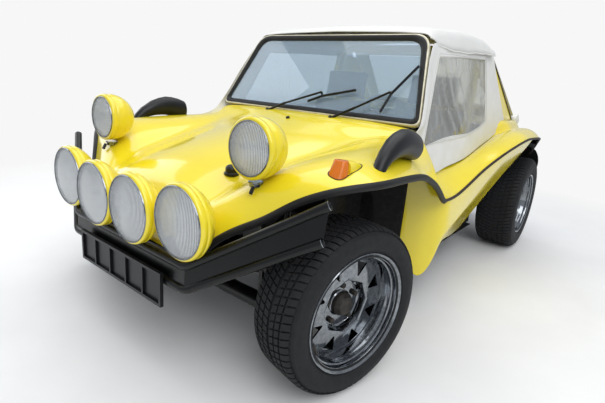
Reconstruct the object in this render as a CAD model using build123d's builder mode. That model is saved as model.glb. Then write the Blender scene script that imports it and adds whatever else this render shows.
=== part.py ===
"""Dune buggy on a shortened rear-engined floor pan, in millimetres.

+X is forward, +Y is to the left and +Z is up. The origin is on the ground below
the middle of the overall box. The front wheels stand steered to the right.
"""
import os
from math import atan2, cos, radians, sin

from build123d import *

os.makedirs("parts", exist_ok=True)

# Main sizes
FRONT_AXLE_X = 1110
WHEELBASE = 2065
REAR_AXLE_X = FRONT_AXLE_X - WHEELBASE
STEER_AT_REST = -12.1
RUN_CLEAR = 0.3
STEEL = 4
GRP = 7

# Wheels
RIM_BEAD_R = 190.5
RIM_FLANGE_R = 207.5
RIM_WALL = 5
SLOT_COUNT = 8
FRONT_TYRE_R = 291
FRONT_TYRE_W = 205
FRONT_RIM_W = 190
FRONT_DISH = 62
REAR_TYRE_R = 314
REAR_TYRE_W = 246
REAR_RIM_W = 230
REAR_DISH = 95
REAR_WHEEL_Y = 675
KINGPIN_Y = 500
FRONT_WHEEL_OFFSET = 157
DRUM_R = 115
DRUM_W = 55
DRUM_LIP = 15
HUB_R = 40
HUB_OUT = 20
GREASE_CAP = (30, 36)
# Tyre wall: rise above the rim flange and inset; shoulder: drop below the tread and inset
TYRE_WALL = ((14, 6), (34, 0))
TYRE_SHOULDER = ((30, 3), (10, 14), (0, 34))
# Rim: depth and slope of the drop centre, width of the bead seat, then the disc
DROP_DEPTH = 18
DROP_SLOPE = 14
BEAD_SEAT_W = 34
BARREL_STEP = (4, 12)
DISC_WALL = 6
DISC_SET = 8
HUB_RECESS = 26
RECESS_OUTER = 100
RECESS_INNER = 94
HUB_BORE_R = 42
# Slots of the disc: inner and outer radius, then the half width at each
SLOT = (109, 156, 4, 28)

# Front suspension and steering
BEAM_X = 130
BEAM_LOW_Z = 222
BEAM_GAP = 150
BEAM_TUBE_R = 30
BEAM_HALF = 425
ARM_LENGTH = 75
TIE_ROD_Z = 300
TIE_ROD_R = 8
PIN_R = 7
DROP_ARM_Y = 215
STEERING_WHEEL_AT = (-800, 330, 800)
STEERING_WHEEL_R = 175
STEERING_GRIP_R = 13
STEERING_BOX_AT = (-40, 215, 420)

# Floor pan
PAN_Z = 205
PAN_HALF_W = 585
PAN_REAR = -1600
PAN_NECK = (-470, -640)
TUNNEL_HALF_W = 85
TUNNEL_H = 150
TUNNEL_DRAFT = 15
TUNNEL_AHEAD = 85
TUNNEL_REAR = -1690
HEAD_W = 190
HEAD_T = 20

# Windscreen
SCREEN_BASE_X = -525
SCREEN_BASE_Z = 855
SCREEN_TOP_X = -719
SCREEN_TOP_Z = 1242
SCREEN_BASE_HALF = 603
SCREEN_TOP_HALF = 508
SCREEN_BORDER = 24
SCREEN_FRAME_T = 20
GLASS_T = 6

# Lamps
HEADLAMP_LENS_R = 81
HEADLAMP_EDGE = 13
HEADLAMP_DEPTH = 130
HEADLAMP_STEM_R = 15
HEADLAMP_STEM_BACK = 38
HEADLAMP_STEM_SPAN = (40, 112)
HEADLAMP_AT = (273, 433, 789)
LAMP_LENS_R = 106
LAMP_SHELL_T = 10
LAMP_STEM_R = 9
LAMP_STEM_IN = 10
LAMP_STEM_FOOT = 8
LAMP_DEPTH = 105
LAMP_PLACES = ((459, 348, 576), (478, 114, 563))

# Bumper
BUMPER_TUBE_R = 14.5
BUMPER_PLATE_T = 3
STRUT_W = 30
STRUT_ROOT_H = 40
STRUT_END = (6, 30)

# Body stations. x is from the front axle; c is the height on the centre line, t the
# edge of the centre hump or the cockpit rim, v the valley, k the fender crown and l
# the lip. Each of t, v, k and l is a y and a z.
#   x     c    t         v         k         l         wall
BODY_STATIONS = (
    (392, 440, 200, 434, 250, 428, 300, 422, 335, 412, 22),
    (374, 530, 190, 524, 250, 512, 310, 500, 350, 470, 14),
    (330, 622, 200, 606, 280, 582, 365, 580, 420, 540, 9),
    (280, 655, 205, 635, 305, 602, 420, 628, 500, 580, GRP),
    (220, 682, 210, 658, 315, 632, 490, 690, 600, 660, GRP),
    (150, 705, 215, 682, 335, 655, 570, 738, 715, 710, GRP),
    (0, 742, 225, 720, 355, 692, 610, 768, 768, 720, GRP),
    (-200, 785, 245, 764, 390, 737, 620, 778, 768, 715, GRP),
    (-380, 822, 300, 802, 440, 785, 610, 782, 752, 668, GRP),
    (-550, 858, 420, 856, 590, 848, 650, 765, 729, 592, GRP),
    (-640, 768, 576, 760, 590, 700, 645, 622, 716, 548, GRP),
    (-750, 718, 568, 710, 592, 650, 650, 592, 709, 540, GRP),
    (-1130, 718, 560, 710, 593, 665, 665, 672, 730, 640, GRP),
    (-1400, 788, 560, 775, 592, 700, 700, 765, 780, 735, GRP),
    (-1700, 885, 568, 845, 590, 762, 725, 822, 806, 782, GRP),
    (-1950, 892, 600, 872, 640, 812, 722, 828, 806, 776, GRP),
    (-2200, 880, 598, 865, 635, 802, 702, 806, 765, 735, GRP),
    (-2400, 812, 530, 795, 575, 722, 640, 735, 700, 630, GRP),
)
COCKPIT_FRONT = -590
COCKPIT_REAR = -1650
COCKPIT_HALF = 556
COCKPIT_LOW = 600
COCKPIT_CUT_H = 355
END_WALL_DROP = 50
END_WALL_IN = (10, 30)

# Side panel stations: x from the front axle, fold and bottom edge as y, z
SIDE_STATIONS = (
    (-750, 712, 372, 702, 336),
    (-1130, 708, 472, 628, 262),
    (-1400, 704, 522, 600, 250),
    (-1700, 718, 580, 600, 290),
    (-1780, 722, 600, 600, 300),
)
SIDE_REAR_CUT = ((-1330, 270), (-1735, 720))

# Roof stations: x from the front axle, crown height, shoulder and drip edge as y, z
ROOF_STATIONS = (
    (-738, 1272, 465, 1255, 512, 1232),
    (-820, 1296, 474, 1272, 516, 1200),
    (-1110, 1329, 480, 1306, 518, 1207),
    (-1430, 1333, 484, 1316, 522, 1232),
    (-1640, 1308, 492, 1284, 532, 1248),
)
VINYL = 5

# Side curtain: foot and top as y, z; outlines as x from the front axle and rise
CURTAIN_FOOT = (612, 660)
CURTAIN_TOP = (508, 1225)
CURTAIN_FRONT = ((-692, -17), (-560, 99), (-565, 223), (-745, 551))
CURTAIN_REAR = ((-1710, 560), (-1850, 350), (-1960, 199), (-1660, 108), (-1385, 62), (-1142, 18), (-876, -2))
WINDOW_OUTLINE = (
    (-610, 110),
    (-704, 295),
    (-807, 504),
    (-1147, 530),
    (-1524, 550),
    (-1527, 407),
    (-1505, 234),
    (-1401, 178),
    (-1197, 144),
    (-880, 134),
)

# Rear panel: foot and top as x from the front axle and z
REAR_PANEL_FOOT = (-2200, 892)
REAR_PANEL_TOP = (-1640.3, 1299)
REAR_PANEL_FOOT_HALF = 575
REAR_PANEL_TOP_HALF = 488
REAR_WINDOW_MARGIN = 95
# Rolled hem at the foot of the rear panel: x, half width, z of the ends and middle, radius
HEM_X = -2224
HEM_HALF = 604
HEM_END_Z = 862
HEM_MIDDLE_Z = 902
HEM_R = 30

# Roll bar
HOOP_X = COCKPIT_REAR + 150
HOOP_HALF = 475
HOOP_TOP = 1258
HOOP_R = 24
STAY_FOOT = (566, 872)
STAY_TOP = (524.4, 1098)
STAY_T = 12
STAY_OUTLINE = ((-1900, -4), (-2184, -4), (-1733, 352), (-1490, 352), (-1490, 200))
STAY_BOSS_R = 18
STAY_BOSS_Z = 1120

# Cockpit
TUB_FRONT = -190
TUB_FRONT_HALF = 405
# Top line of the tub ahead of the cockpit, as x and z
TUB_TOE_LINE = ((-180, 700), (-470, 712), (-588, 742))
TUB_REAR_TOP = (-1660, 835)
TUB_UNDER_SHELL = 4
DASH_OUTLINE = ((-592, 766), (-592, 752), (-600, 752), (-622, 700), (-640, 700), (-652, 716), (-640, 752))
# Cockpit controls: y, radius, bend radius and route as x and height above the floor pan
GEAR_LEVER = (0, 7, 60, ((-790, 150), (-790, 340), (-830, 440)))
HANDBRAKE = (0, 9, 30, ((-1010, 150), (-1010, 205), (-860, 240)))
PEDAL_ROUTE = ((-430, 4), (-430, 125), (-490, 195))
PEDAL_PLACES = (160, 250, 345)
PEDAL_R = 9
PEDAL_BEND = 40
COLUMN_R = 19
COLUMN_SHORT = 20
STEERING_HUB_R = 38
SPOKE_W = 26
SPOKE_T = 4
SPOKE_TURNS = (0, 180, 270)
HUB_DEPTH = 46
SEAT_Y = 305
SEAT_W = 420
SEAT_LOW = 290
SEAT_EDGE = 18
# Side view of a seat, as x and z
SEAT_OUTLINE = (
    (-865, SEAT_LOW),
    (-860, 430),
    (-900, 450),
    (-1205, 415),
    (-1290, 760),
    (-1325, 1090),
    (-1345, 1118),
    (-1385, 1110),
    (-1395, 1070),
    (-1370, 740),
    (-1300, 330),
    (-1270, SEAT_LOW),
)
RUNNER_X = -1080
RUNNER_L = 330
RUNNER_W = 30
RUNNER_H = 46
RUNNER_GAP = 300
CROSS_BAR_GAP = 240
SCREEN_CORNER = 62

# Flare behind the front wheel, x from the front axle and y
FLARE_OUTER = (-738, 702)
FLARE_MIDDLE = (-665, 652)
FLARE_INNER = (-606, 556)
FLARE_TIP_Z = 150
# Edge of the flare seen from ahead: y and z from the body lip, then the tip's y and the inner foot's z
FLARE_EDGE = ((-12, -14), (1, -170), (-8, -215))
FLARE_TIP_IN = 55
FLARE_INNER_TOP = 118
FLARE_INNER_FOOT = 230
FLARE_H = 550
PANEL_LIP = 5

# Steering and front suspension details
ARM_W = 34
ARM_H = 26
ARM_COLLAR = 6
KINGPIN_BOSS_R = 18
KINGPIN_END = 24
STUB_AXLE_R = 16
BACK_PLATE_T = 4
BACK_PLATE_IN = 2
STEER_ARM_W = 22
STEER_ARM_T = 14
STEER_ARM_END_R = 13
PIN_END = 8
DROP_ARM_W = 24
DROP_ARM_END_R = 14
DROP_ARM_BOSS_R = 16
DROP_PIN_END = 6
KINGPIN_R = 9
EYE_H = 18
EYE_R = 15
ROD_STEP = 22
STEERING_BOX_LOW = 368
STEERING_BOX_REAR = -60
STEERING_BOX_W = 70
STEERING_BOX_RISE = 25
STEERING_BOSS_R = 20
STEERING_BOSS_H = 6
TOWER_Y = 398
TOWER_TOP = 600
TOWER_T = 16
TOWER_W = 44
TOWER_SHELF_T = 12
BEAM_WEB_Y = 70
SHOCK_X = 28
TOW_EYE_Y = 150
TOW_EYE_OUT = 62
TOW_EYE_R = 13
TOW_EYE_T = 10

# Rear of the chassis
FORK_Z = 215
FORK_W = 60
FORK_HALF = 165
FORK_REAR = -2200
FORK_NECK = (-1655, -1745)
FORK_SPREAD = (-1820, -1840)
FORK_CROTCH = 60
TORSION_X = -1705
TORSION_R = 34
TORSION_Z = 300
TORSION_HALF = 480
TRANSAXLE_HALF = 128
# Gearbox case from the nose back, as start x, end x, width and height
GEARBOX_CASES = ((-1752, -1880, 110, 120), (-1880, -2140, 190, 210))
GEARBOX_EDGE_R = 30
BELL_R = 130
BELL_RISE = 20
FINAL_DRIVE_R = 92
SPRING_PLATE_T = 8
SPRING_PLATE_ROOT = 40
SPRING_PLATE_END = 34
AXLE_TUBE_R = 32
ENGINE_FRONT = -2215
ENGINE_CASE_L = 340
ENGINE_Z = 345
CRANKCASE_W = 250
CRANKCASE_H = 230
CRANKCASE_EDGE_R = 40
BARREL_HALF_GAP = 66
BARREL_R = 46
BARREL_REACH = 300
# Width, height and corner radius of each cylinder head and its valve cover
CYLINDER_HEAD = (270, 120, 14)
CYLINDER_HEAD_T = 70
HEAD_START_Y = 255
VALVE_COVER = (250, 84, 20)
VALVE_COVER_T = 38
PULLEY_R = 84
PULLEY_T = 24
PULLEY_HUB_R = 26
PULLEY_DROP = 10
PULLEY_X = -2600
FIN_COUNT = 5
FIN_STEP = 22
FIN_START_Y = 140
FIN_R = 58
FIN_T = 5
SHROUD_X = -2290
SHROUD_T = 90
SHROUD_HALF = 235
SHROUD_SIDE_H = 90
SHROUD_TOP_HALF = 120
SHROUD_H = 285
SHROUD_CORNER_R = 60
# Fan boss, generator and air cleaner on one axis, as rear end behind the housing, length and radius
FAN_TURNED = ((0, 24, 88), (240, 150, 46), (262, 22, 60))
FAN_RISE = 150
STAND_BACK = 170
STAND_SIZE = (50, 40)
STAND_H = 120
SILENCER_X = -2610
SILENCER_Z = 190
SILENCER_HALF = 320
SILENCER_R = 52
TAIL_PIPE_Y = 120
TAIL_PIPE_R = 17
TAIL_PIPE_FALL = 0.12
HEAD_PIPE_Y = 292
HEAD_PIPE_R = 18
HEAD_PIPE_BEND = 50
TAIL_PIPE = 88
GUARD_Z = 400
GUARD_ROOT_X = -2165
GUARD_HALF = 450
GUARD_R = 19
GUARD_BEND = 60
GUARD_FLARE = 20
GUARD_RISE_X = -2315
GUARD_REAR = -2709

# Bumper points from the front axle, at the left bend and the left end
BUMPER_UPPER = (425, 345, 430)
BUMPER_LOWER = (430, 350, 355)
BUMPER_UPPER_END = (245, 720, 680)
BUMPER_LOWER_END = (262, 720, 580)
BUMPER_BEND = 60
STRUT_Y = 180
PLATE_L = 522
PLATE_H = 116
PLATE_Z = 328
PLATE_HOLE_HALF = 152
PLATE_HOLE_R = 3
PLATE_HOLE_CUT = 20
PLATE_T = 4
PLATE_RIM = 10
PLATE_RIBS = 4
PLATE_RIB_H = 8

# Lamp and fender fittings
LENS_SEAT = 12
LENS_DOME = 11
LAMP_RIM = 30
LAMP_BEVEL = 6
# Indicator: place, then length, width and height of its base and of its lens
INDICATOR_AT = (120, 672, 745)
INDICATOR_BASE = (150, 70, 20)
INDICATOR_LENS = (74, 46, 28)
INDICATOR_TAPER = 12
# Tail lamps: y, z and radius
TAIL_LAMPS = ((640, 680, 38), (572, 650, 26))
TAIL_LAMP_L = 26
MIRROR_Y = 700
# Mirror pod sections from the front: x and z of the middle, then half width and half height
MIRROR_STATIONS = (
    (-12, 772, 12, 10),
    (-90, 806, 30, 26),
    (-190, 823, 46, 48),
    (-270, 805, 50, 56),
    (-312, 796, 46, 50),
)
MIRROR_FOOT_X = -40
MIRROR_FOOT_R = 24
MIRROR_FOOT_DROP = 60
WIPER_ARM_LIFT = 22
WIPER_BLADE_LIFT = 12
WIPER_POST_R = 9
WIPER_ARM_R = 5
WIPER_BLADE_R = 6
# Wipers on the glass plane as y and rise: pivot, knee, arm tip and the points of the blade
WIPERS = (
    ((-222, -22), (-127, 27), (73, 105), ((4, 55), (76, 89), (250, 134))),
    ((179, -20), (286, 43), (432, 134), ((410, 41), (431, 129), (513, 268))),
)


def fore(x):
    """Turns a distance from the front axle into the part's own x."""
    return FRONT_AXLE_X + x


def at(point):
    """Turns a point measured from the front axle into the part's own frame."""
    return (fore(point[0]), point[1], point[2])


def tube(points, radius, bend):
    """A round tube along straight runs joined by arcs."""
    with BuildPart() as run:
        with BuildLine() as route:
            if len(points) > 2:
                FilletPolyline(*points, radius=bend)
            else:
                Line(*points)
        with BuildSketch(Plane(origin=route.line @ 0, z_dir=route.line % 0)):
            Circle(radius)
        sweep(path=route.line)
    return run.part


def both_sides(piece):
    """A piece and its mirror image across the middle of the car."""
    return [piece, mirror(piece, about=Plane.XZ)]


def write(name, pieces):
    """Writes one sub-part, made of one or more solids, as its own file."""
    solids = []
    for piece in pieces:
        solids.extend(piece.solids())
    node = solids[0] if len(solids) == 1 else Compound(children=solids)
    node.label = name
    export_step(node, f"parts/{name}.step")


def wheel_centre(side, front):
    """Middle of a wheel; the front ones stand at the resting steering angle."""
    if not front:
        return Vector(REAR_AXLE_X, side * REAR_WHEEL_Y, REAR_TYRE_R)
    out = outward(side, True)
    pin = Vector(FRONT_AXLE_X, side * KINGPIN_Y, FRONT_TYRE_R)
    return pin + out * FRONT_WHEEL_OFFSET


def outward(side, front):
    """Direction in which a wheel's outer face looks."""
    turn = radians(STEER_AT_REST) if front else 0
    return Vector(-side * sin(turn), side * cos(turn), 0)


def section_plane(centre, out):
    """Plane through the wheel's axis: local x is the radius and local y is outward."""
    up = Vector(0, 0, 1)
    return Plane(origin=centre, x_dir=up, z_dir=up.cross(out))


def tyre(centre, out, radius, width, rim_width):
    """A tyre as one closed ring with flat tread and bulged sidewalls."""
    bead = rim_width / 2 - RIM_WALL - RUN_CLEAR
    half = width / 2
    right = [(RIM_BEAD_R + RUN_CLEAR, bead), (RIM_FLANGE_R + 2, bead)]
    right += [(RIM_FLANGE_R + rise, half - inset) for rise, inset in TYRE_WALL]
    right += [(radius - drop, half - inset) for drop, inset in TYRE_SHOULDER]
    left = [(r, -a) for r, a in reversed(right)]
    with BuildPart() as ring:
        with BuildSketch(section_plane(centre, out)):
            with BuildLine():
                Polyline(*right, *left, close=True)
            make_face()
        revolve(axis=Axis(centre, out))
    return ring.part


def rim(centre, out, rim_width, dish):
    """A pressed steel rim: stepped barrel, slotted disc and an eight-sided recess for the hub."""
    half = rim_width / 2
    seat = half - BEAD_SEAT_W
    well = seat - DROP_SLOPE
    low = RIM_BEAD_R - DROP_DEPTH
    step, ledge = BARREL_STEP
    outer = [
        (RIM_FLANGE_R, half),
        (RIM_FLANGE_R, half - RIM_WALL),
        (RIM_BEAD_R, half - RIM_WALL),
        (RIM_BEAD_R, seat),
        (low, well),
    ]
    inner = [
        (RIM_BEAD_R - RIM_WALL, -half),
        (RIM_BEAD_R - RIM_WALL, -seat + 2),
        (low - RIM_WALL, -well + 2),
        (low - RIM_WALL, well - 2),
        (low - RIM_WALL + step, well - 2),
        (low - RIM_WALL + step, well + ledge),
        (RIM_BEAD_R - RIM_WALL, seat + ledge),
        (RIM_BEAD_R - RIM_WALL, half),
    ]
    face = half - dish - DISC_SET
    floor = half - dish - DISC_SET - HUB_RECESS
    front = Plane(origin=centre, x_dir=(0, 0, 1), z_dir=out)
    slot_low, slot_high, slot_narrow, slot_wide = SLOT
    with BuildPart() as wheel:
        with BuildSketch(section_plane(centre, out)):
            with BuildLine():
                Polyline(*outer, *[(r, -a) for r, a in reversed(outer)], *inner, close=True)
            make_face()
        revolve(axis=Axis(centre, out))
        with BuildSketch(front.offset(face - DISC_WALL)):
            Circle(low - RIM_WALL / 2)
            RegularPolygon(RECESS_INNER, 8, mode=Mode.SUBTRACT)
            with PolarLocations(0, SLOT_COUNT, start_angle=180 / SLOT_COUNT):
                Polygon(
                    (slot_low, slot_narrow),
                    (slot_low, -slot_narrow),
                    (slot_high, -slot_wide),
                    (slot_high, slot_wide),
                    align=None,
                    mode=Mode.SUBTRACT,
                )
        extrude(amount=DISC_WALL)
        with BuildSketch(front.offset(floor)):
            RegularPolygon(RECESS_OUTER, 8)
            RegularPolygon(RECESS_INNER, 8, mode=Mode.SUBTRACT)
        extrude(amount=face - floor)
        with BuildSketch(front.offset(floor)):
            RegularPolygon(RECESS_OUTER, 8)
            Circle(HUB_BORE_R, mode=Mode.SUBTRACT)
        extrude(amount=DISC_WALL)
    return wheel.part


def drum(centre, out, rim_width, dish):
    """Brake drum, hub and grease cap that carry a wheel."""
    face = drum_face(rim_width, dish)
    cap_r, cap_out = GREASE_CAP
    with BuildPart() as hub:
        with BuildSketch(section_plane(centre, out)):
            with BuildLine():
                Polyline(
                    (0, face - DRUM_W),
                    (DRUM_R, face - DRUM_W),
                    (DRUM_R, face - DRUM_LIP),
                    (DRUM_R - DRUM_LIP, face),
                    (HUB_R, face),
                    (HUB_R, face + HUB_OUT),
                    (cap_r, face + cap_out),
                    (0, face + cap_out),
                    close=True,
                )
            make_face()
        revolve(axis=Axis(centre, out))
    return hub.part


def drum_face(rim_width, dish):
    """Distance of a brake drum's outer face from the wheel's middle plane."""
    return rim_width / 2 - dish - DISC_SET - HUB_RECESS


def outer_line(row):
    """Outer points of a body station: centre, hump, rim, valley, crown, lip."""
    _, c, ty, tz, vy, vz, ky, kz, ly, lz, _ = row
    hump = (0.6 * ty, c - 0.36 * (c - tz))
    return (0, c), hump, (ty, tz), (vy, vz), (ky, kz), (ly, lz)


def body_section(row):
    """Closed outline of a body station: the outer line and its wall."""
    wall = row[-1]
    centre, hump, rim_edge, valley, crown, lip = outer_line(row)

    def inside(point, share):
        return (point[0] - share * wall, point[1] - wall)

    with BuildSketch(Plane(origin=(fore(row[0]), 0, 0), x_dir=(0, 1, 0), z_dir=(1, 0, 0))) as station:
        with BuildLine():
            ThreePointArc(centre, hump, rim_edge)
            Line(rim_edge, valley)
            ThreePointArc(valley, crown, lip)
            Line(lip, inside(lip, 1))
            ThreePointArc(inside(lip, 1), inside(crown, 0.4), inside(valley, 0.5))
            Line(inside(valley, 0.5), inside(rim_edge, 0.5))
            ThreePointArc(inside(rim_edge, 0.5), inside(hump, 0), inside(centre, 0))
            Line(inside(centre, 0), centre)
        make_face()
    return station.sketch


def body_shell():
    """Hood, fenders, cockpit sides and rear deck as one moulding."""
    sections = [body_section(row) for row in BODY_STATIONS]
    with BuildPart() as shell:
        loft(sections, ruled=True)
        mirror(about=Plane.XZ)
        with BuildSketch(Plane.XY.offset(COCKPIT_LOW)):
            with Locations((fore((COCKPIT_FRONT + COCKPIT_REAR) / 2), 0)):
                Rectangle(COCKPIT_FRONT - COCKPIT_REAR, 2 * COCKPIT_HALF)
        extrude(amount=COCKPIT_CUT_H, mode=Mode.SUBTRACT)
        _, _, rim_edge, valley, crown, lip = outer_line(BODY_STATIONS[-1])
        low = lip[1] - END_WALL_DROP
        feet = ((lip[0] - END_WALL_IN[1], low), (rim_edge[0] + END_WALL_IN[0], low))
        with BuildSketch(across(BODY_STATIONS[-1][0])):
            with BuildLine():
                Polyline(rim_edge, valley, crown, lip, *feet, close=True)
            make_face()
            mirror(about=Plane.YZ)
        extrude(amount=GRP)
    return shell.part


def lip_at(x):
    """Body lip at a distance from the front axle, on the straight line between stations."""
    for ahead, behind in zip(BODY_STATIONS, BODY_STATIONS[1:]):
        if behind[0] <= x <= ahead[0]:
            share = (ahead[0] - x) / (ahead[0] - behind[0])
            y = ahead[8] + share * (behind[8] - ahead[8])
            z = ahead[9] + share * (behind[9] - ahead[9])
            return y, z
    raise ValueError(f"no body lip at {x}")


def side_panels():
    """Lower side panels that hang under the body lip, with the flare behind the wheel."""
    rise = RUN_CLEAR / 2**0.5
    sections = []
    for x, fold_y, fold_z, foot_y, foot_z in SIDE_STATIONS:
        lip_y, lip_z = lip_at(x)
        top = (lip_y - 1 + rise, lip_z - 1 - rise)
        top_in = (top[0] - PANEL_LIP, top[1] - PANEL_LIP)
        with BuildSketch(across(x)) as station:
            with BuildLine():
                Polyline(
                    top,
                    (fold_y, fold_z),
                    (foot_y, foot_z),
                    (foot_y - PANEL_LIP, foot_z + PANEL_LIP),
                    (fold_y - GRP, fold_z + 2),
                    top_in,
                    close=True,
                )
            make_face()
        sections.append(station.sketch)
    with BuildPart() as panel:
        loft(sections, ruled=True)
        (low_x, low_z), (high_x, high_z) = SIDE_REAR_CUT
        slant = Vector(high_x - low_x, 0, high_z - low_z)
        cut = Plane(origin=(fore(low_x), 0, low_z), x_dir=slant, z_dir=slant.cross(Vector(0, 1, 0)))
        split(bisect_by=cut, keep=Keep.TOP if cut.z_dir.X > 0 else Keep.BOTTOM)
    front_y, front_z = lip_at(FLARE_OUTER[0])
    with BuildPart() as flare:
        with BuildSketch(Plane.XY.offset(FLARE_TIP_Z)):
            with BuildLine():
                outer = [at((*point, 0))[:2] for point in (FLARE_OUTER, FLARE_MIDDLE, FLARE_INNER)]
                inner = [(x - GRP, y) for x, y in outer]
                ThreePointArc(*outer)
                Line(outer[2], inner[2])
                ThreePointArc(*reversed(inner))
                Line(inner[0], outer[0])
            make_face()
        extrude(amount=FLARE_H)
        with BuildSketch(across(FLARE_INNER[0] - FLARE_H / 2)):
            with BuildLine():
                Polyline(
                    (FLARE_INNER[1], FLARE_INNER_FOOT),
                    (FLARE_INNER[1], front_z + FLARE_INNER_TOP),
                    *[(front_y + dy, front_z + dz) for dy, dz in FLARE_EDGE],
                    (front_y - FLARE_TIP_IN, FLARE_TIP_Z),
                    close=True,
                )
            make_face()
        extrude(amount=FLARE_H, mode=Mode.INTERSECT)
    return both_sides(panel.part) + both_sides(flare.part)


def across(x):
    """Plane across the car: local x is to the left and local y is up."""
    return Plane(origin=(fore(x), 0, 0), x_dir=(0, 1, 0), z_dir=(1, 0, 0))


def along(y=0):
    """Plane along the car: local x is forward and local y is up; it looks to the right."""
    return Plane(origin=(0, y, 0), x_dir=(1, 0, 0), z_dir=(0, -1, 0))


def prism(plane, points, depth):
    """A straight prism on a closed outline of lines."""
    with BuildPart() as body:
        with BuildSketch(plane):
            with BuildLine():
                Polyline(*points, close=True)
            make_face()
        extrude(amount=depth)
    return body.part


def side_outline(points):
    """Moves an outline of x and z, measured from the front axle, to the part's frame."""
    return [(fore(x), z) for x, z in points]


def floor_pan():
    """Pressed floor, centre tunnel, frame head, rear fork and torsion tube."""
    tunnel_front = BEAM_X - TUNNEL_AHEAD
    head_length = BEAM_X - BEAM_TUBE_R - tunnel_front
    top = PAN_Z + TUNNEL_H
    inner = FORK_HALF - FORK_W / 2
    outer = FORK_HALF + FORK_W / 2
    floor = [
        (TUB_FRONT, TUB_FRONT_HALF),
        (PAN_NECK[0], TUB_FRONT_HALF),
        (PAN_NECK[1], PAN_HALF_W),
        (PAN_REAR, PAN_HALF_W),
    ]
    fork = [
        (FORK_NECK[0], TUNNEL_HALF_W),
        (FORK_SPREAD[0], outer),
        (FORK_REAR, outer),
        (FORK_REAR, inner),
        (FORK_SPREAD[1], inner),
        (FORK_NECK[1], FORK_CROTCH),
    ]
    with BuildPart() as pan:
        for outline, level, thickness in ((floor, PAN_Z, STEEL), (fork, FORK_Z, FORK_W)):
            with BuildSketch(Plane.XY.offset(level)):
                with BuildLine():
                    left = side_outline(outline)
                    Polyline(*left, *[(x, -y) for x, y in reversed(left)], close=True)
                make_face()
            extrude(amount=thickness)
        with BuildSketch(across(tunnel_front)):
            with BuildLine():
                Polyline(
                    (TUNNEL_HALF_W, PAN_Z),
                    (TUNNEL_HALF_W - TUNNEL_DRAFT, top),
                    (TUNNEL_DRAFT - TUNNEL_HALF_W, top),
                    (-TUNNEL_HALF_W, PAN_Z),
                    close=True,
                )
            make_face()
        extrude(amount=TUNNEL_REAR - tunnel_front)
        with BuildSketch(Plane.XY.offset(BEAM_LOW_Z - HEAD_T / 2)):
            with Locations((fore(tunnel_front + head_length / 2), 0)):
                Rectangle(head_length, HEAD_W)
        extrude(amount=HEAD_T)
        with BuildSketch(Plane(origin=(fore(TORSION_X), TORSION_HALF, TORSION_Z), z_dir=(0, -1, 0))):
            Circle(TORSION_R)
        extrude(amount=2 * TORSION_HALF)
    return pan.part


def steering_axis():
    """Start at the steering wheel and direction down to the steering box."""
    start = Vector(*at(STEERING_WHEEL_AT))
    return start, (Vector(*at(STEERING_BOX_AT)) - start).normalized()


def tub():
    """Moulded cockpit walls: sides, toe board and rear bulkhead."""
    half = COCKPIT_HALF - RUN_CLEAR
    plan = [
        (COCKPIT_REAR + 1, half),
        (COCKPIT_FRONT, half),
        (PAN_NECK[0], TUB_FRONT_HALF),
        (TUB_FRONT, TUB_FRONT_HALF),
    ]
    plan = plan + [(x, -y) for x, y in reversed(plan)]
    inside = [row for row in BODY_STATIONS if COCKPIT_REAR < row[0] < COCKPIT_FRONT]
    low = PAN_Z + STEEL
    outline = [(TUB_REAR_TOP[0], low), (TUB_TOE_LINE[0][0], low), *TUB_TOE_LINE]
    outline += [(row[0], row[3] - TUB_UNDER_SHELL) for row in inside] + [TUB_REAR_TOP]
    with BuildPart() as walls:
        with BuildSketch(Plane.XY.offset(low)):
            with BuildLine():
                Polyline(*[(fore(x), y) for x, y in plan], close=True)
            make_face()
            offset(amount=-GRP, kind=Kind.INTERSECTION, mode=Mode.SUBTRACT)
        extrude(amount=TUB_REAR_TOP[1] - low)
        with BuildSketch(along(COCKPIT_HALF)):
            with BuildLine():
                Polyline(*side_outline(outline), close=True)
            make_face()
        extrude(amount=2 * COCKPIT_HALF, mode=Mode.INTERSECT)
        start, down = steering_axis()
        with BuildSketch(Plane(origin=start, z_dir=down)):
            Circle(COLUMN_R + RUN_CLEAR)
        extrude(amount=WHEELBASE, mode=Mode.SUBTRACT)
        with BuildSketch(across(PAN_REAR + TUNNEL_REAR)):
            with Locations((0, PAN_Z + TUNNEL_H / 2)):
                Rectangle(2 * (TUNNEL_HALF_W + RUN_CLEAR), TUNNEL_H + 2 * RUN_CLEAR)
        extrude(amount=-PAN_REAR - TUNNEL_REAR, mode=Mode.SUBTRACT)
    return walls.part


def screen_plane():
    """Plane of the windscreen: local x is to the left and local y runs up the glass."""
    rise = Vector(SCREEN_TOP_X - SCREEN_BASE_X, 0, SCREEN_TOP_Z - SCREEN_BASE_Z)
    return Plane(
        origin=(fore(SCREEN_BASE_X), 0, SCREEN_BASE_Z),
        x_dir=(0, 1, 0),
        z_dir=Vector(0, 1, 0).cross(rise),
    )


def screen_outline(inset):
    """Corners of the windscreen, drawn in by an even border."""
    height = ((SCREEN_TOP_X - SCREEN_BASE_X) ** 2 + (SCREEN_TOP_Z - SCREEN_BASE_Z) ** 2) ** 0.5
    base = SCREEN_BASE_HALF - inset
    top = SCREEN_TOP_HALF - inset
    return [(-base, inset), (base, inset), (top, height - inset), (-top, height - inset)]


def screen_sketch(inset, corner):
    """Windscreen outline with its corners rounded."""
    with BuildSketch() as shape:
        with BuildLine():
            Polyline(*screen_outline(inset), close=True)
        make_face()
        high = shape.vertices().group_by(Axis.Y)[-1]
        fillet(high, corner)
        low = shape.vertices().group_by(Axis.Y)[0]
        fillet(low, corner / 2)
    return shape.sketch


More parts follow.
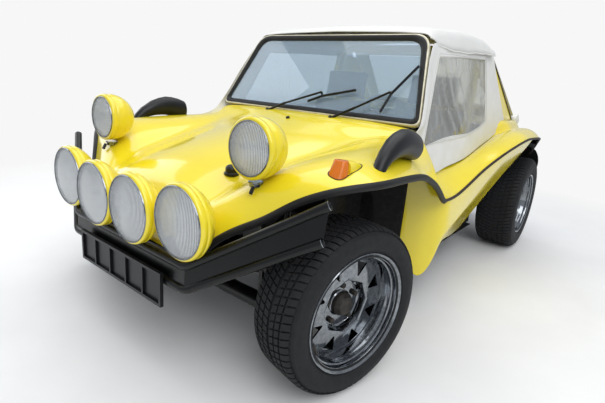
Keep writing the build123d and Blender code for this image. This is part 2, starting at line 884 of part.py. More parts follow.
def windscreen_frame(shell):
    """Flat frame round the windscreen glass, cut to sit on the cowl."""
    with BuildPart() as frame:
        with BuildSketch(screen_plane()):
            add(screen_sketch(0, SCREEN_CORNER))
            add(screen_sketch(SCREEN_BORDER, SCREEN_CORNER - SCREEN_BORDER / 2), mode=Mode.SUBTRACT)
        extrude(amount=-SCREEN_FRAME_T)
    return seated(frame.part, shell)


def windscreen_glass():
    """Flat glass that fills the windscreen frame."""
    with BuildPart() as pane:
        with BuildSketch(screen_plane().offset(-(SCREEN_FRAME_T - GLASS_T) / 2)):
            add(screen_sketch(SCREEN_BORDER + RUN_CLEAR, SCREEN_CORNER - SCREEN_BORDER / 2))
        extrude(amount=-GLASS_T)
    return pane.part


def roof():
    """Top of the soft top, arched over the cabin."""
    sections = []
    for x, crown, shoulder_y, shoulder_z, edge_y, edge_z in ROOF_STATIONS:
        bulge = (0.6 * shoulder_y, crown - 0.36 * (crown - shoulder_z))
        with BuildSketch(across(x)) as arch:
            with BuildLine():
                ThreePointArc((0, crown), bulge, (shoulder_y, shoulder_z))
                Line((shoulder_y, shoulder_z), (edge_y, edge_z))
                Line((edge_y, edge_z), (edge_y - VINYL, edge_z))
                Line((edge_y - VINYL, edge_z), (shoulder_y - VINYL, shoulder_z - VINYL))
                ThreePointArc(
                    (shoulder_y - VINYL, shoulder_z - VINYL),
                    (bulge[0], bulge[1] - VINYL),
                    (0, crown - VINYL),
                )
                Line((0, crown - VINYL), (0, crown))
            make_face()
        sections.append(arch.sketch)
    with BuildPart() as top:
        loft(sections, ruled=True)
        mirror(about=Plane.XZ)
    return top.part


def curtain_plane():
    """Plane of a left side curtain: local x is forward and local y runs up."""
    lean = Vector(0, CURTAIN_TOP[0] - CURTAIN_FOOT[0], CURTAIN_TOP[1] - CURTAIN_FOOT[1])
    return Plane(
        origin=(FRONT_AXLE_X, CURTAIN_FOOT[0], CURTAIN_FOOT[1]),
        x_dir=(1, 0, 0),
        z_dir=Vector(1, 0, 0).cross(lean),
    )


def curtain_head():
    """Upper edge of a curtain, just under the drip edge of the roof."""
    lean = atan2(CURTAIN_FOOT[0] - CURTAIN_TOP[0], CURTAIN_TOP[1] - CURTAIN_FOOT[1])
    rows = ROOF_STATIONS[1:]
    return [(x, (edge_z - RUN_CLEAR - CURTAIN_FOOT[1]) / cos(lean)) for x, _, _, _, _, edge_z in rows]


def side_curtains(shell):
    """Vinyl side curtains with their window openings, cut where they meet the body."""
    with BuildPart() as curtain:
        with BuildSketch(curtain_plane()):
            with BuildLine():
                Polyline(*CURTAIN_FRONT, *curtain_head(), *CURTAIN_REAR, close=True)
            make_face()
            with BuildLine():
                Polyline(*WINDOW_OUTLINE, close=True)
            make_face(mode=Mode.SUBTRACT)
        extrude(amount=VINYL)
    return both_sides(seated(curtain.part, shell))


def side_windows():
    """Clear sheets in the side curtains."""
    with BuildPart() as sheet:
        with BuildSketch(curtain_plane().offset(1)):
            with BuildLine():
                Polyline(*WINDOW_OUTLINE, close=True)
            make_face()
            offset(amount=-RUN_CLEAR, kind=Kind.INTERSECTION, mode=Mode.REPLACE)
        extrude(amount=VINYL - 2)
    return both_sides(sheet.part)


def rear_panel_plane():
    """Plane of the soft top's rear panel: local x is to the left, local y runs up."""
    rise = Vector(REAR_PANEL_TOP[0] - REAR_PANEL_FOOT[0], 0, REAR_PANEL_TOP[1] - REAR_PANEL_FOOT[1])
    return Plane(
        origin=(fore(REAR_PANEL_FOOT[0]), 0, REAR_PANEL_FOOT[1]),
        x_dir=(0, 1, 0),
        z_dir=Vector(0, 1, 0).cross(rise),
    )


def rear_panel_length():
    """Length of the rear panel down its slope."""
    run = REAR_PANEL_TOP[0] - REAR_PANEL_FOOT[0]
    fall = REAR_PANEL_TOP[1] - REAR_PANEL_FOOT[1]
    return (run**2 + fall**2) ** 0.5


def rear_window_outline(inset):
    """Rear window, with equal margins round it and a smaller inset for the sheet."""
    length = rear_panel_length()
    low = REAR_PANEL_FOOT_HALF - REAR_WINDOW_MARGIN - inset
    high = REAR_PANEL_TOP_HALF - REAR_WINDOW_MARGIN - inset
    foot = REAR_WINDOW_MARGIN + inset
    return [(-low, foot), (low, foot), (high, length - foot), (-high, length - foot)]


def rear_panel(shell):
    """Sloping rear panel of the soft top with a window opening and a rolled hem on the deck."""
    length = rear_panel_length()
    foot = REAR_PANEL_FOOT_HALF
    head = REAR_PANEL_TOP_HALF
    with BuildPart() as panel:
        with BuildSketch(rear_panel_plane()):
            with BuildLine():
                Polyline((-foot, 0), (foot, 0), (head, length), (-head, length), close=True)
            make_face()
            with BuildLine():
                Polyline(*rear_window_outline(0), close=True)
            make_face(mode=Mode.SUBTRACT)
        extrude(amount=-VINYL)
    with BuildPart() as hem:
        with BuildLine() as roll:
            ends = [(fore(HEM_X), side * HEM_HALF, HEM_END_Z) for side in (-1, 1)]
            ThreePointArc(ends[0], (fore(HEM_X), 0, HEM_MIDDLE_Z), ends[1])
        with BuildSketch(Plane(origin=roll.line @ 0, z_dir=roll.line % 0)):
            Circle(HEM_R)
        sweep(path=roll.line)
    sheet = seated(panel.part, shell)
    return [sheet, seated(seated(hem.part, shell), sheet)]


def rear_window():
    """Clear sheet in the rear panel."""
    with BuildPart() as sheet:
        with BuildSketch(rear_panel_plane().offset(-1)):
            with BuildLine():
                Polyline(*rear_window_outline(RUN_CLEAR), close=True)
            make_face()
        extrude(amount=-(VINYL - 2))
    return sheet.part


def roll_bar(shell):
    """Hoop behind the seats with a flat stay down to the rear deck on each side."""
    foot = PAN_Z + STEEL
    x = fore(HOOP_X)
    hoop = tube(
        [(x, HOOP_HALF, foot), (x, HOOP_HALF, HOOP_TOP), (x, -HOOP_HALF, HOOP_TOP), (x, -HOOP_HALF, foot)],
        HOOP_R,
        110,
    )
    lean = Vector(0, STAY_TOP[0] - STAY_FOOT[0], STAY_TOP[1] - STAY_FOOT[1])
    plane = Plane(
        origin=(FRONT_AXLE_X, STAY_FOOT[0], STAY_FOOT[1]),
        x_dir=(1, 0, 0),
        z_dir=Vector(1, 0, 0).cross(lean),
    )
    with BuildPart() as stay:
        with BuildSketch(plane):
            with BuildLine():
                Polyline(*STAY_OUTLINE, close=True)
            make_face()
        extrude(amount=STAY_T)
    boss_y = HOOP_HALF + HOOP_R / 2
    share = (STAY_BOSS_Z - STAY_FOOT[1]) / lean.Z
    stay_y = STAY_FOOT[0] + share * lean.Y - STAY_T / 2
    boss = post((x, boss_y, STAY_BOSS_Z), (x, stay_y, STAY_BOSS_Z), STAY_BOSS_R)
    side = stay.part + boss
    with BuildPart() as bar:
        add(hoop)
        add(side)
        add(mirror(side, about=Plane.XZ))
    return seated(bar.part, shell)


def dash_panel():
    """Instrument panel under the cowl."""
    half = COCKPIT_HALF - RUN_CLEAR - GRP - RUN_CLEAR
    start, down = steering_axis()
    column = post(tuple(start), tuple(start + down * WHEELBASE / 4), COLUMN_R + RUN_CLEAR)
    return seated(prism(along(half), side_outline(DASH_OUTLINE), 2 * half), column)


def steering_column():
    """Column jacket, steering box and the bracket that hangs them."""
    start, down = steering_axis()
    box = Vector(*at(STEERING_BOX_AT))
    length = (box - start).length
    with BuildPart() as column:
        with BuildSketch(Plane(origin=start + down * HUB_DEPTH, z_dir=down)):
            Circle(COLUMN_R)
        extrude(amount=length - HUB_DEPTH - COLUMN_SHORT)
        with BuildSketch(Plane.XY.offset(STEERING_BOX_LOW)):
            with Locations((fore((BEAM_X - BEAM_TUBE_R - RUN_CLEAR + STEERING_BOX_REAR) / 2), DROP_ARM_Y)):
                Rectangle(BEAM_X - BEAM_TUBE_R - RUN_CLEAR - STEERING_BOX_REAR, STEERING_BOX_W)
        extrude(amount=box.Z + STEERING_BOX_RISE - STEERING_BOX_LOW)
        with BuildSketch(Plane(origin=(FRONT_AXLE_X, DROP_ARM_Y, STEERING_BOX_LOW), z_dir=(0, 0, -1))):
            Circle(STEERING_BOSS_R)
        extrude(amount=STEERING_BOSS_H)
    return column.part


def steering_wheel():
    """Three-spoked steering wheel on its hub."""
    start, down = steering_axis()
    face = Plane(origin=start, x_dir=(0, 1, 0), z_dir=down)
    with BuildPart() as wheel:
        side = Plane(origin=start, x_dir=face.x_dir, z_dir=face.x_dir.cross(down))
        with BuildSketch(side):
            with Locations((STEERING_WHEEL_R, 0)):
                Circle(STEERING_GRIP_R)
        revolve(axis=Axis(start, down))
        with BuildSketch(face):
            Circle(STEERING_HUB_R)
        extrude(amount=HUB_DEPTH - RUN_CLEAR)
        with BuildSketch(face.offset(SPOKE_T)):
            for turn in SPOKE_TURNS:
                with Locations(Location((0, 0, 0), turn)):
                    with Locations((STEERING_WHEEL_R / 2, 0)):
                        Rectangle(STEERING_WHEEL_R, SPOKE_W)
        extrude(amount=SPOKE_T)
    return wheel.part


def cockpit_controls():
    """Gear lever, handbrake and three pedals."""
    pedals = [(y, PEDAL_R, PEDAL_BEND, PEDAL_ROUTE) for y in PEDAL_PLACES]
    pieces = []
    for y, radius, bend, route in (GEAR_LEVER, HANDBRAKE, *pedals):
        pieces.append(tube([(fore(x), y, PAN_Z + rise) for x, rise in route], radius, bend))
    return pieces


def seats():
    """Two high-backed bucket seats as plain closed cushions."""
    pieces = []
    for side in (1, -1):
        piece = prism(along(side * SEAT_Y + SEAT_W / 2), side_outline(SEAT_OUTLINE), SEAT_W)
        with BuildPart() as seat:
            add(piece)
            edges = seat.faces().sort_by(Axis.Y)[0].edges() + seat.faces().sort_by(Axis.Y)[-1].edges()
            chamfer(edges, SEAT_EDGE)
        pieces.append(seat.part)
    return pieces


def seat_frames():
    """Runners and cross bars under the seats."""
    pieces = []
    for side in (1, -1):
        with BuildPart() as frame:
            with BuildSketch(Plane.XY.offset(PAN_Z + STEEL)):
                with Locations((fore(RUNNER_X), side * SEAT_Y)):
                    with GridLocations(0, RUNNER_GAP, 1, 2):
                        Rectangle(RUNNER_L, RUNNER_W)
            extrude(amount=RUNNER_H)
            with BuildSketch(Plane.XY.offset(PAN_Z + STEEL + RUNNER_H)):
                with Locations((fore(RUNNER_X), side * SEAT_Y)):
                    with GridLocations(CROSS_BAR_GAP, 0, 2, 1):
                        Rectangle(RUNNER_W, RUNNER_L)
            extrude(amount=SEAT_LOW - RUN_CLEAR - PAN_Z - STEEL - RUNNER_H)
        pieces.append(frame.part)
    return pieces


def front_beam():
    """Two torsion tubes joined by towers, with a towing eye."""
    upper = BEAM_LOW_Z + BEAM_GAP
    with BuildPart() as beam:
        for z in (BEAM_LOW_Z, upper):
            with BuildSketch(Plane(origin=(fore(BEAM_X), BEAM_HALF, z), z_dir=(0, -1, 0))):
                Circle(BEAM_TUBE_R)
            extrude(amount=2 * BEAM_HALF)
        for y in (-BEAM_WEB_Y, BEAM_WEB_Y, TOWER_Y, -TOWER_Y):
            tall = TOWER_TOP if abs(y) == TOWER_Y else upper
            with BuildSketch(along(y + TOWER_T / 2)):
                with Locations((fore(BEAM_X), (BEAM_LOW_Z + tall) / 2)):
                    Rectangle(TOWER_W, tall - BEAM_LOW_Z)
            extrude(amount=TOWER_T)
        for side in (1, -1):
            with BuildSketch(Plane.XY.offset(TOWER_TOP - TOWER_SHELF_T)):
                with Locations((fore((SHOCK_X + BEAM_X) / 2), side * TOWER_Y)):
                    Rectangle(BEAM_X - SHOCK_X + TOWER_W, TOWER_W)
            extrude(amount=TOWER_SHELF_T)
        with BuildSketch(Plane(origin=(fore(BEAM_X), TOW_EYE_Y, BEAM_LOW_Z - TOW_EYE_T / 2))):
            with Locations((TOW_EYE_OUT / 2, 0)):
                Rectangle(TOW_EYE_OUT, 4 * TOW_EYE_R)
            with Locations((TOW_EYE_OUT, 0)):
                Circle(2 * TOW_EYE_R)
                Circle(TOW_EYE_R, mode=Mode.SUBTRACT)
        extrude(amount=TOW_EYE_T)
    return beam.part


def trailing_arms():
    """Four trailing arms from the torsion tubes back to the kingpin eyes."""
    pieces = []
    inner = BEAM_HALF + RUN_CLEAR
    for z in (BEAM_LOW_Z, BEAM_LOW_Z + BEAM_GAP):
        with BuildPart() as arm:
            with BuildSketch(along(inner + ARM_W)):
                with Locations((fore(BEAM_X), z)):
                    Circle(BEAM_TUBE_R + ARM_COLLAR)
                with Locations((fore(BEAM_X / 2), z)):
                    Rectangle(BEAM_X, ARM_H)
            extrude(amount=ARM_W)
            with BuildSketch(Plane.XY.offset(z - ARM_H / 2)):
                with Locations((FRONT_AXLE_X, (inner + KINGPIN_Y) / 2)):
                    Rectangle(2 * KINGPIN_BOSS_R, KINGPIN_Y - inner)
                with Locations((FRONT_AXLE_X, KINGPIN_Y)):
                    Circle(KINGPIN_BOSS_R)
            extrude(amount=ARM_H)
            with BuildSketch(Plane.XY.offset(z - ARM_H / 2)):
                with Locations((FRONT_AXLE_X, KINGPIN_Y)):
                    Circle(KINGPIN_R + RUN_CLEAR)
            extrude(amount=ARM_H, mode=Mode.SUBTRACT)
        pieces += both_sides(arm.part)
    return pieces


def knuckle(side):
    """Steering knuckle with its kingpin, stub axle, back plate and steering arm."""
    low = BEAM_LOW_Z + ARM_H / 2 + RUN_CLEAR
    high = BEAM_LOW_Z + BEAM_GAP - ARM_H / 2 - RUN_CLEAR
    pin = Vector(FRONT_AXLE_X, side * KINGPIN_Y, 0)
    out = outward(side, True)
    ahead = Vector(cos(radians(STEER_AT_REST)), sin(radians(STEER_AT_REST)), 0)
    plate = FRONT_WHEEL_OFFSET + drum_face(FRONT_RIM_W, FRONT_DISH) - DRUM_W
    rod_z = TIE_ROD_Z if side > 0 else TIE_ROD_Z + ROD_STEP
    arm_z = rod_z - EYE_H / 2 - RUN_CLEAR
    with BuildPart() as body:
        with BuildSketch(Plane(origin=pin + Vector(0, 0, low))):
            Circle(KINGPIN_BOSS_R)
        extrude(amount=high - low)
        with BuildSketch(Plane(origin=pin + Vector(0, 0, low - KINGPIN_END))):
            Circle(KINGPIN_R)
        extrude(amount=high - low + 2 * KINGPIN_END)
        with BuildSketch(Plane(origin=pin + Vector(0, 0, FRONT_TYRE_R), z_dir=out)):
            Circle(STUB_AXLE_R)
        extrude(amount=plate - RUN_CLEAR)
        back = pin + Vector(0, 0, FRONT_TYRE_R) + out * (plate - BACK_PLATE_T - RUN_CLEAR)
        with BuildSketch(Plane(origin=back, z_dir=out)):
            Circle(DRUM_R - BACK_PLATE_IN)
        extrude(amount=BACK_PLATE_T)
        arm_low = pin + Vector(0, 0, arm_z - STEER_ARM_T)
        with BuildSketch(Plane(origin=arm_low, x_dir=ahead, z_dir=(0, 0, 1))):
            with Locations((ARM_LENGTH / 2, 0)):
                Rectangle(ARM_LENGTH, STEER_ARM_W)
            with Locations((ARM_LENGTH, 0)):
                Circle(STEER_ARM_END_R)
        extrude(amount=STEER_ARM_T)
        with BuildSketch(Plane(origin=pin + ahead * ARM_LENGTH + Vector(0, 0, arm_z))):
            Circle(PIN_R)
        extrude(amount=EYE_H + PIN_END)
    return body.part


def drop_arm():
    """Arm under the steering box that moves both tie rods."""
    ahead = Vector(cos(radians(STEER_AT_REST)), sin(radians(STEER_AT_REST)), 0)
    pivot = Vector(FRONT_AXLE_X, DROP_ARM_Y, 0)
    low = TIE_ROD_Z + ROD_STEP + EYE_H / 2 + RUN_CLEAR
    with BuildPart() as arm:
        with BuildSketch(Plane(origin=pivot + Vector(0, 0, low), x_dir=ahead, z_dir=(0, 0, 1))):
            with Locations((ARM_LENGTH / 2, 0)):
                Rectangle(ARM_LENGTH, DROP_ARM_W)
            with Locations((ARM_LENGTH, 0)):
                Circle(DROP_ARM_END_R)
            Circle(DROP_ARM_BOSS_R)
        extrude(amount=STEERING_BOX_LOW - STEERING_BOSS_H - RUN_CLEAR - low)
        with BuildSketch(Plane(origin=pivot + ahead * ARM_LENGTH + Vector(0, 0, low), z_dir=(0, 0, -1))):
            Circle(PIN_R)
        extrude(amount=low - TIE_ROD_Z + EYE_H / 2 + DROP_PIN_END)
    return arm.part


def tie_rods():
    """Short left and long right tie rod with an eye at each end."""
    ahead = Vector(cos(radians(STEER_AT_REST)), sin(radians(STEER_AT_REST)), 0) * ARM_LENGTH
    pieces = []
    for side, z in ((1, TIE_ROD_Z), (-1, TIE_ROD_Z + ROD_STEP)):
        inner = Vector(FRONT_AXLE_X, DROP_ARM_Y, z) + ahead
        outer = Vector(FRONT_AXLE_X, side * KINGPIN_Y, z) + ahead
        with BuildPart() as rod:
            with BuildSketch(Plane(origin=inner, z_dir=outer - inner)):
                Circle(TIE_ROD_R)
            extrude(amount=(outer - inner).length)
            for end in (inner, outer):
                with BuildSketch(Plane(origin=end - Vector(0, 0, EYE_H / 2))):
                    Circle(EYE_R)
                extrude(amount=EYE_H)
            for end in (inner, outer):
                with BuildSketch(Plane(origin=end - Vector(0, 0, EYE_H / 2))):
                    Circle(PIN_R + RUN_CLEAR)
                extrude(amount=EYE_H, mode=Mode.SUBTRACT)
        pieces.append(rod.part)
    return pieces


def front_shocks():
    """Front shock absorbers between the lower arms and the towers."""
    pieces = []
    for side in (1, -1):
        inner = BEAM_HALF + RUN_CLEAR
        y = TOWER_Y
        with BuildPart() as shock:
            with BuildSketch(Plane(origin=(fore(SHOCK_X), side * y, BEAM_LOW_Z + 30))):
                Circle(20)
            extrude(amount=150)
            with BuildSketch(Plane(origin=(fore(SHOCK_X), side * y, BEAM_LOW_Z + 170))):
                Circle(11)
            extrude(amount=TOWER_TOP - 12 - BEAM_LOW_Z - 170)
            with BuildSketch(Plane(origin=(fore(SHOCK_X), side * y, BEAM_LOW_Z))):
                Circle(12)
            extrude(amount=30)
            with BuildSketch(Plane(origin=(fore(SHOCK_X), side * y, BEAM_LOW_Z), z_dir=(0, side, 0))):
                Circle(10)
            extrude(amount=inner - y)
        pieces.append(shock.part)
    return pieces


def transaxle():
    """Gearbox and final drive in front of the engine."""
    axle = fore(REAR_AXLE_X - FRONT_AXLE_X)
    with BuildPart() as box:
        for start, end, width, height in GEARBOX_CASES:
            with BuildSketch(across(end)):
                with Locations((0, REAR_TYRE_R)):
                    RectangleRounded(width, height, GEARBOX_EDGE_R)
            extrude(amount=start - end)
        rear = GEARBOX_CASES[-1][1]
        with BuildSketch(across(ENGINE_FRONT)):
            with Locations((0, REAR_TYRE_R + BELL_RISE)):
                Circle(BELL_R)
        extrude(amount=rear - ENGINE_FRONT)
        with BuildSketch(Plane(origin=(axle, TRANSAXLE_HALF, REAR_TYRE_R), z_dir=(0, -1, 0))):
            Circle(FINAL_DRIVE_R)
        extrude(amount=2 * TRANSAXLE_HALF)
    return box.part


def rear_suspension():
    """Spring plates, axle tubes and back plates."""
    plate_y = REAR_WHEEL_Y + drum_face(REAR_RIM_W, REAR_DISH) - DRUM_W
    with BuildPart() as frame:
        for side in (1, -1):
            middle = side * (TORSION_HALF + SPRING_PLATE_T / 2 + RUN_CLEAR)
            with BuildSketch(along(middle + SPRING_PLATE_T / 2)):
                with BuildLine():
                    Polyline(
                        (fore(TORSION_X), TORSION_Z - SPRING_PLATE_ROOT),
                        (fore(TORSION_X), TORSION_Z + SPRING_PLATE_ROOT),
                        (REAR_AXLE_X, REAR_TYRE_R + SPRING_PLATE_END),
                        (REAR_AXLE_X - SPRING_PLATE_ROOT, REAR_TYRE_R),
                        (REAR_AXLE_X, REAR_TYRE_R - SPRING_PLATE_END),
                        close=True,
                    )
                make_face()
            extrude(amount=SPRING_PLATE_T)
            inner = side * (TRANSAXLE_HALF + RUN_CLEAR)
            with BuildSketch(Plane(origin=(REAR_AXLE_X, inner, REAR_TYRE_R), z_dir=(0, side, 0))):
                Circle(AXLE_TUBE_R)
            extrude(amount=plate_y - RUN_CLEAR - abs(inner))
            flange = side * (plate_y - BACK_PLATE_T - RUN_CLEAR)
            with BuildSketch(Plane(origin=(REAR_AXLE_X, flange, REAR_TYRE_R), z_dir=(0, side, 0))):
                Circle(DRUM_R - BACK_PLATE_IN)
            extrude(amount=BACK_PLATE_T)
    return frame.part


def engine():
    """Flat four-cylinder engine: case, finned barrels, heads and pulley."""
    mid = ENGINE_FRONT - ENGINE_CASE_L / 2
    with BuildPart() as motor:
        with BuildSketch(across(ENGINE_FRONT - ENGINE_CASE_L)):
            with Locations((0, ENGINE_Z)):
                RectangleRounded(CRANKCASE_W, CRANKCASE_H, CRANKCASE_EDGE_R)
        extrude(amount=ENGINE_CASE_L)
        for side in (1, -1):
            for x in (mid - BARREL_HALF_GAP, mid + BARREL_HALF_GAP):
                with BuildSketch(Plane(origin=(fore(x), 0, ENGINE_Z), z_dir=(0, side, 0))):
                    Circle(BARREL_R)
                extrude(amount=BARREL_REACH)
                for step in range(FIN_COUNT):
                    fin_y = side * (FIN_START_Y + step * FIN_STEP)
                    with BuildSketch(Plane(origin=(fore(x), fin_y, ENGINE_Z), z_dir=(0, side, 0))):
                        Circle(FIN_R)
                    extrude(amount=FIN_T)
            root = (fore(mid), side * HEAD_START_Y, ENGINE_Z)
            head = Plane(origin=root, x_dir=(1, 0, 0), z_dir=(0, side, 0))
            with BuildSketch(head):
                RectangleRounded(*CYLINDER_HEAD)
            extrude(amount=CYLINDER_HEAD_T)
            with BuildSketch(head.offset(CYLINDER_HEAD_T)):
                RectangleRounded(*VALVE_COVER)
            extrude(amount=VALVE_COVER_T)
        with BuildSketch(across(PULLEY_X - PULLEY_T)):
            with Locations((0, ENGINE_Z - PULLEY_DROP)):
                Circle(PULLEY_R)
        extrude(amount=PULLEY_T)
        with BuildSketch(across(PULLEY_X)):
            with Locations((0, ENGINE_Z - PULLEY_DROP)):
                Circle(PULLEY_HUB_R)
        extrude(amount=ENGINE_FRONT - ENGINE_CASE_L - PULLEY_X)
    return motor.part


def fan_shroud():
    """Upright fan housing with the generator and air cleaner."""
    base = ENGINE_Z + CRANKCASE_H / 2
    rise = [(SHROUD_HALF, RUN_CLEAR), (SHROUD_HALF, SHROUD_SIDE_H), (SHROUD_TOP_HALF, SHROUD_H)]
    outline = [(y, base + z) for y, z in rise]
    far_side = [(-y, z) for y, z in reversed(outline[1:])]
    with BuildPart() as shroud:
        with BuildSketch(across(SHROUD_X - SHROUD_T)) as housing:
            with BuildLine():
                Polyline((-SHROUD_HALF, outline[0][1]), *outline, *far_side, close=True)
            make_face()
            fillet(housing.vertices().sort_by(Axis.Y)[-4:], SHROUD_CORNER_R)
        extrude(amount=SHROUD_T)
        for start, length, radius in FAN_TURNED:
            with BuildSketch(across(SHROUD_X - start)):
                with Locations((0, base + FAN_RISE)):
                    Circle(radius)
            extrude(amount=length)
        with BuildSketch(Plane(origin=(fore(SHROUD_X - STAND_BACK), 0, base))):
            Rectangle(*STAND_SIZE)
        extrude(amount=STAND_H)
    return shroud.part


def exhaust():
    """Cross silencer with two tail pipes and the pipes from the heads."""
    pieces = []
    with BuildPart() as silencer:
        with BuildSketch(Plane(origin=(fore(SILENCER_X), SILENCER_HALF, SILENCER_Z), z_dir=(0, -1, 0))):
            Circle(SILENCER_R)
        extrude(amount=2 * SILENCER_HALF)
        for side in (1, -1):
            root = (fore(SILENCER_X), side * TAIL_PIPE_Y, SILENCER_Z)
            with BuildSketch(Plane(origin=root, z_dir=(-1, 0, -TAIL_PIPE_FALL))):
                Circle(TAIL_PIPE_R)
            extrude(amount=TAIL_PIPE)
    pieces.append(silencer.part)
    mid = ENGINE_FRONT - ENGINE_CASE_L / 2
    for side in (1, -1):
        start = (fore(mid), side * HEAD_PIPE_Y, ENGINE_Z - CYLINDER_HEAD[1] / 2 - RUN_CLEAR)
        bend = (fore(mid), side * HEAD_PIPE_Y, SILENCER_Z)
        end = (fore(SILENCER_X) + SILENCER_R + RUN_CLEAR, side * HEAD_PIPE_Y, SILENCER_Z)
        pieces.append(tube([start, bend, end], HEAD_PIPE_R, HEAD_PIPE_BEND))
    return pieces


def bumper_routes():
    """Centre lines of the upper and lower bumper tube."""
    routes = []
    for front, end in ((BUMPER_UPPER, BUMPER_UPPER_END), (BUMPER_LOWER, BUMPER_LOWER_END)):
        left = [at(end), at(front)]
        right = [(x, -y, z) for x, y, z in reversed(left)]
        routes.append(left + right)
    return routes


def front_bumper():
    """Two tubes with a plate between them, and struts back to the beam."""
    upper, lower = bumper_routes()
    pieces = [tube(upper, BUMPER_TUBE_R, BUMPER_BEND), tube(lower, BUMPER_TUBE_R, BUMPER_BEND)]
    with BuildPart() as bumper:
        for piece in pieces:
            add(piece)
        for high, low in zip(zip(upper, upper[1:]), zip(lower, lower[1:])):
            corners = [Vector(*high[0]), Vector(*high[1]), Vector(*low[1]), Vector(*low[0])]
            add(thin_plate(corners, BUMPER_PLATE_T))
        root_x = fore(BEAM_X + BEAM_TUBE_R + RUN_CLEAR)
        root_z = BEAM_LOW_Z + BEAM_GAP
        end_x = fore(BUMPER_LOWER[0] - BUMPER_PLATE_T)
        for y in (-STRUT_Y, STRUT_Y):
            with BuildSketch(along(y + STRUT_W / 2)):
                with BuildLine():
                    Polyline(
                        (root_x, root_z + STRUT_ROOT_H / 2),
                        (root_x, root_z - STRUT_ROOT_H / 2),
                        (end_x, BUMPER_LOWER[2] - STRUT_END[0]),
                        (end_x, BUMPER_LOWER[2] + STRUT_END[1]),
                        close=True,
                    )
                make_face()
            extrude(amount=STRUT_W)
    return bumper.part


def thin_plate(corners, thickness):
    """A flat plate through four corners that lie nearly in one plane."""
    a, b, c, d = corners
    normal = (b - a).cross(d - a).normalized()
    plane = Plane(origin=a, x_dir=(b - a).normalized(), z_dir=normal)
    local = [plane.to_local_coords(point) for point in corners]
    with BuildPart() as plate:
        with BuildSketch(plane.offset(-thickness / 2)):
            with BuildLine():
                Polyline(*[(point.X, point.Y) for point in local], close=True)
            make_face()
        extrude(amount=thickness)
    return plate.part


def plate_holder():
    """Empty number plate holder in front of the bumper."""
    x = BUMPER_LOWER[0] + BUMPER_TUBE_R + RUN_CLEAR
    plane = Plane(origin=(fore(x), 0, PLATE_Z), x_dir=(0, 1, 0), z_dir=(1, 0, 0))
    with BuildPart() as holder:
        with BuildSketch(plane):
            Rectangle(PLATE_L, PLATE_H)
        extrude(amount=PLATE_T)
        with BuildSketch(plane.offset(PLATE_T)):
            Rectangle(PLATE_L, PLATE_H)
            Rectangle(PLATE_L - 2 * PLATE_RIM, PLATE_H - 2 * PLATE_RIM, mode=Mode.SUBTRACT)
            with GridLocations(PLATE_L / (PLATE_RIBS + 1), 1, PLATE_RIBS, 1):
                Rectangle(PLATE_RIB_H, PLATE_H)
        extrude(amount=PLATE_RIB_H)
        with BuildSketch(plane):
            with Locations((-PLATE_HOLE_HALF, 0), (PLATE_HOLE_HALF, 0)):
                Circle(PLATE_HOLE_R)
        extrude(amount=PLATE_HOLE_CUT, mode=Mode.SUBTRACT)
    return holder.part


def cap_middle(radius, edge, top):
    """Point half way out on a spherical cap from its edge, at radius, to its top."""
    height = abs(top - edge)
    ball = (radius**2 + height**2) / (2 * height)
    drop = ball - (ball**2 - radius**2 / 4) ** 0.5
    return radius / 2, top - drop if top > edge else top + drop


def lamp_shell(centre, lens_r, wall, depth):
    """Domed back of a round lamp with a recess for its lens; it faces forward."""
    x, y, z = at(centre)
    outer = lens_r + wall
    with BuildPart() as shell:
        with BuildSketch(Plane(origin=(x, y, z), x_dir=(0, 0, 1), z_dir=(0, 1, 0))):
            with BuildLine():
                Line((0, -depth), (0, -LENS_SEAT))
                Line((0, -LENS_SEAT), (lens_r + RUN_CLEAR, -LENS_SEAT))
                Line((lens_r + RUN_CLEAR, -LENS_SEAT), (lens_r + RUN_CLEAR, 0))
                Line((lens_r + RUN_CLEAR, 0), (outer, -LAMP_BEVEL))
                Line((outer, -LAMP_BEVEL), (outer, -LAMP_RIM))
                ThreePointArc((outer, -LAMP_RIM), cap_middle(outer, -LAMP_RIM, -depth), (0, -depth))
            make_face()
        revolve(axis=Axis((x, y, z), (1, 0, 0)))
    return shell.part


def lens(centre, lens_r):
    """Slightly domed round lens."""
    x, y, z = at(centre)
    with BuildPart() as glass:
        with BuildSketch(Plane(origin=(x, y, z), x_dir=(0, 0, 1), z_dir=(0, 1, 0))):
            with BuildLine():
                Line((0, LENS_DOME), (0, -LENS_SEAT))
                Line((0, -LENS_SEAT), (lens_r, -LENS_SEAT))
                Line((lens_r, -LENS_SEAT), (lens_r, 0))
                ThreePointArc((lens_r, 0), cap_middle(lens_r, 0, LENS_DOME), (0, LENS_DOME))
            make_face()
        revolve(axis=Axis((x, y, z), (1, 0, 0)))
    return glass.part


def seated(piece, carrier):
    """A piece cut where its carrier stands, so that the two meet face to face."""
    with BuildPart() as fitted:
        add(piece)
        add(carrier, mode=Mode.SUBTRACT)
    return max(fitted.part.solids(), key=lambda solid: solid.volume)


def headlight_shells(shell):
    """Bowls of the two headlights on short stems."""
    bowl = lamp_shell(HEADLAMP_AT, HEADLAMP_LENS_R, HEADLAMP_EDGE, HEADLAMP_DEPTH)
    x, y, z = at(HEADLAMP_AT)
    high, low = HEADLAMP_STEM_SPAN
    stem = post((x - HEADLAMP_STEM_BACK, y, z - high), (x - HEADLAMP_STEM_BACK, y, z - low), HEADLAMP_STEM_R)
    return both_sides(seated(bowl + stem, shell))


def post(start, end, radius):
    """A round post between two points."""
    a, b = Vector(*start), Vector(*end)
    with BuildPart() as rod:
        with BuildSketch(Plane(origin=a, z_dir=b - a)):
            Circle(radius)
        extrude(amount=(b - a).length)
    return rod.part


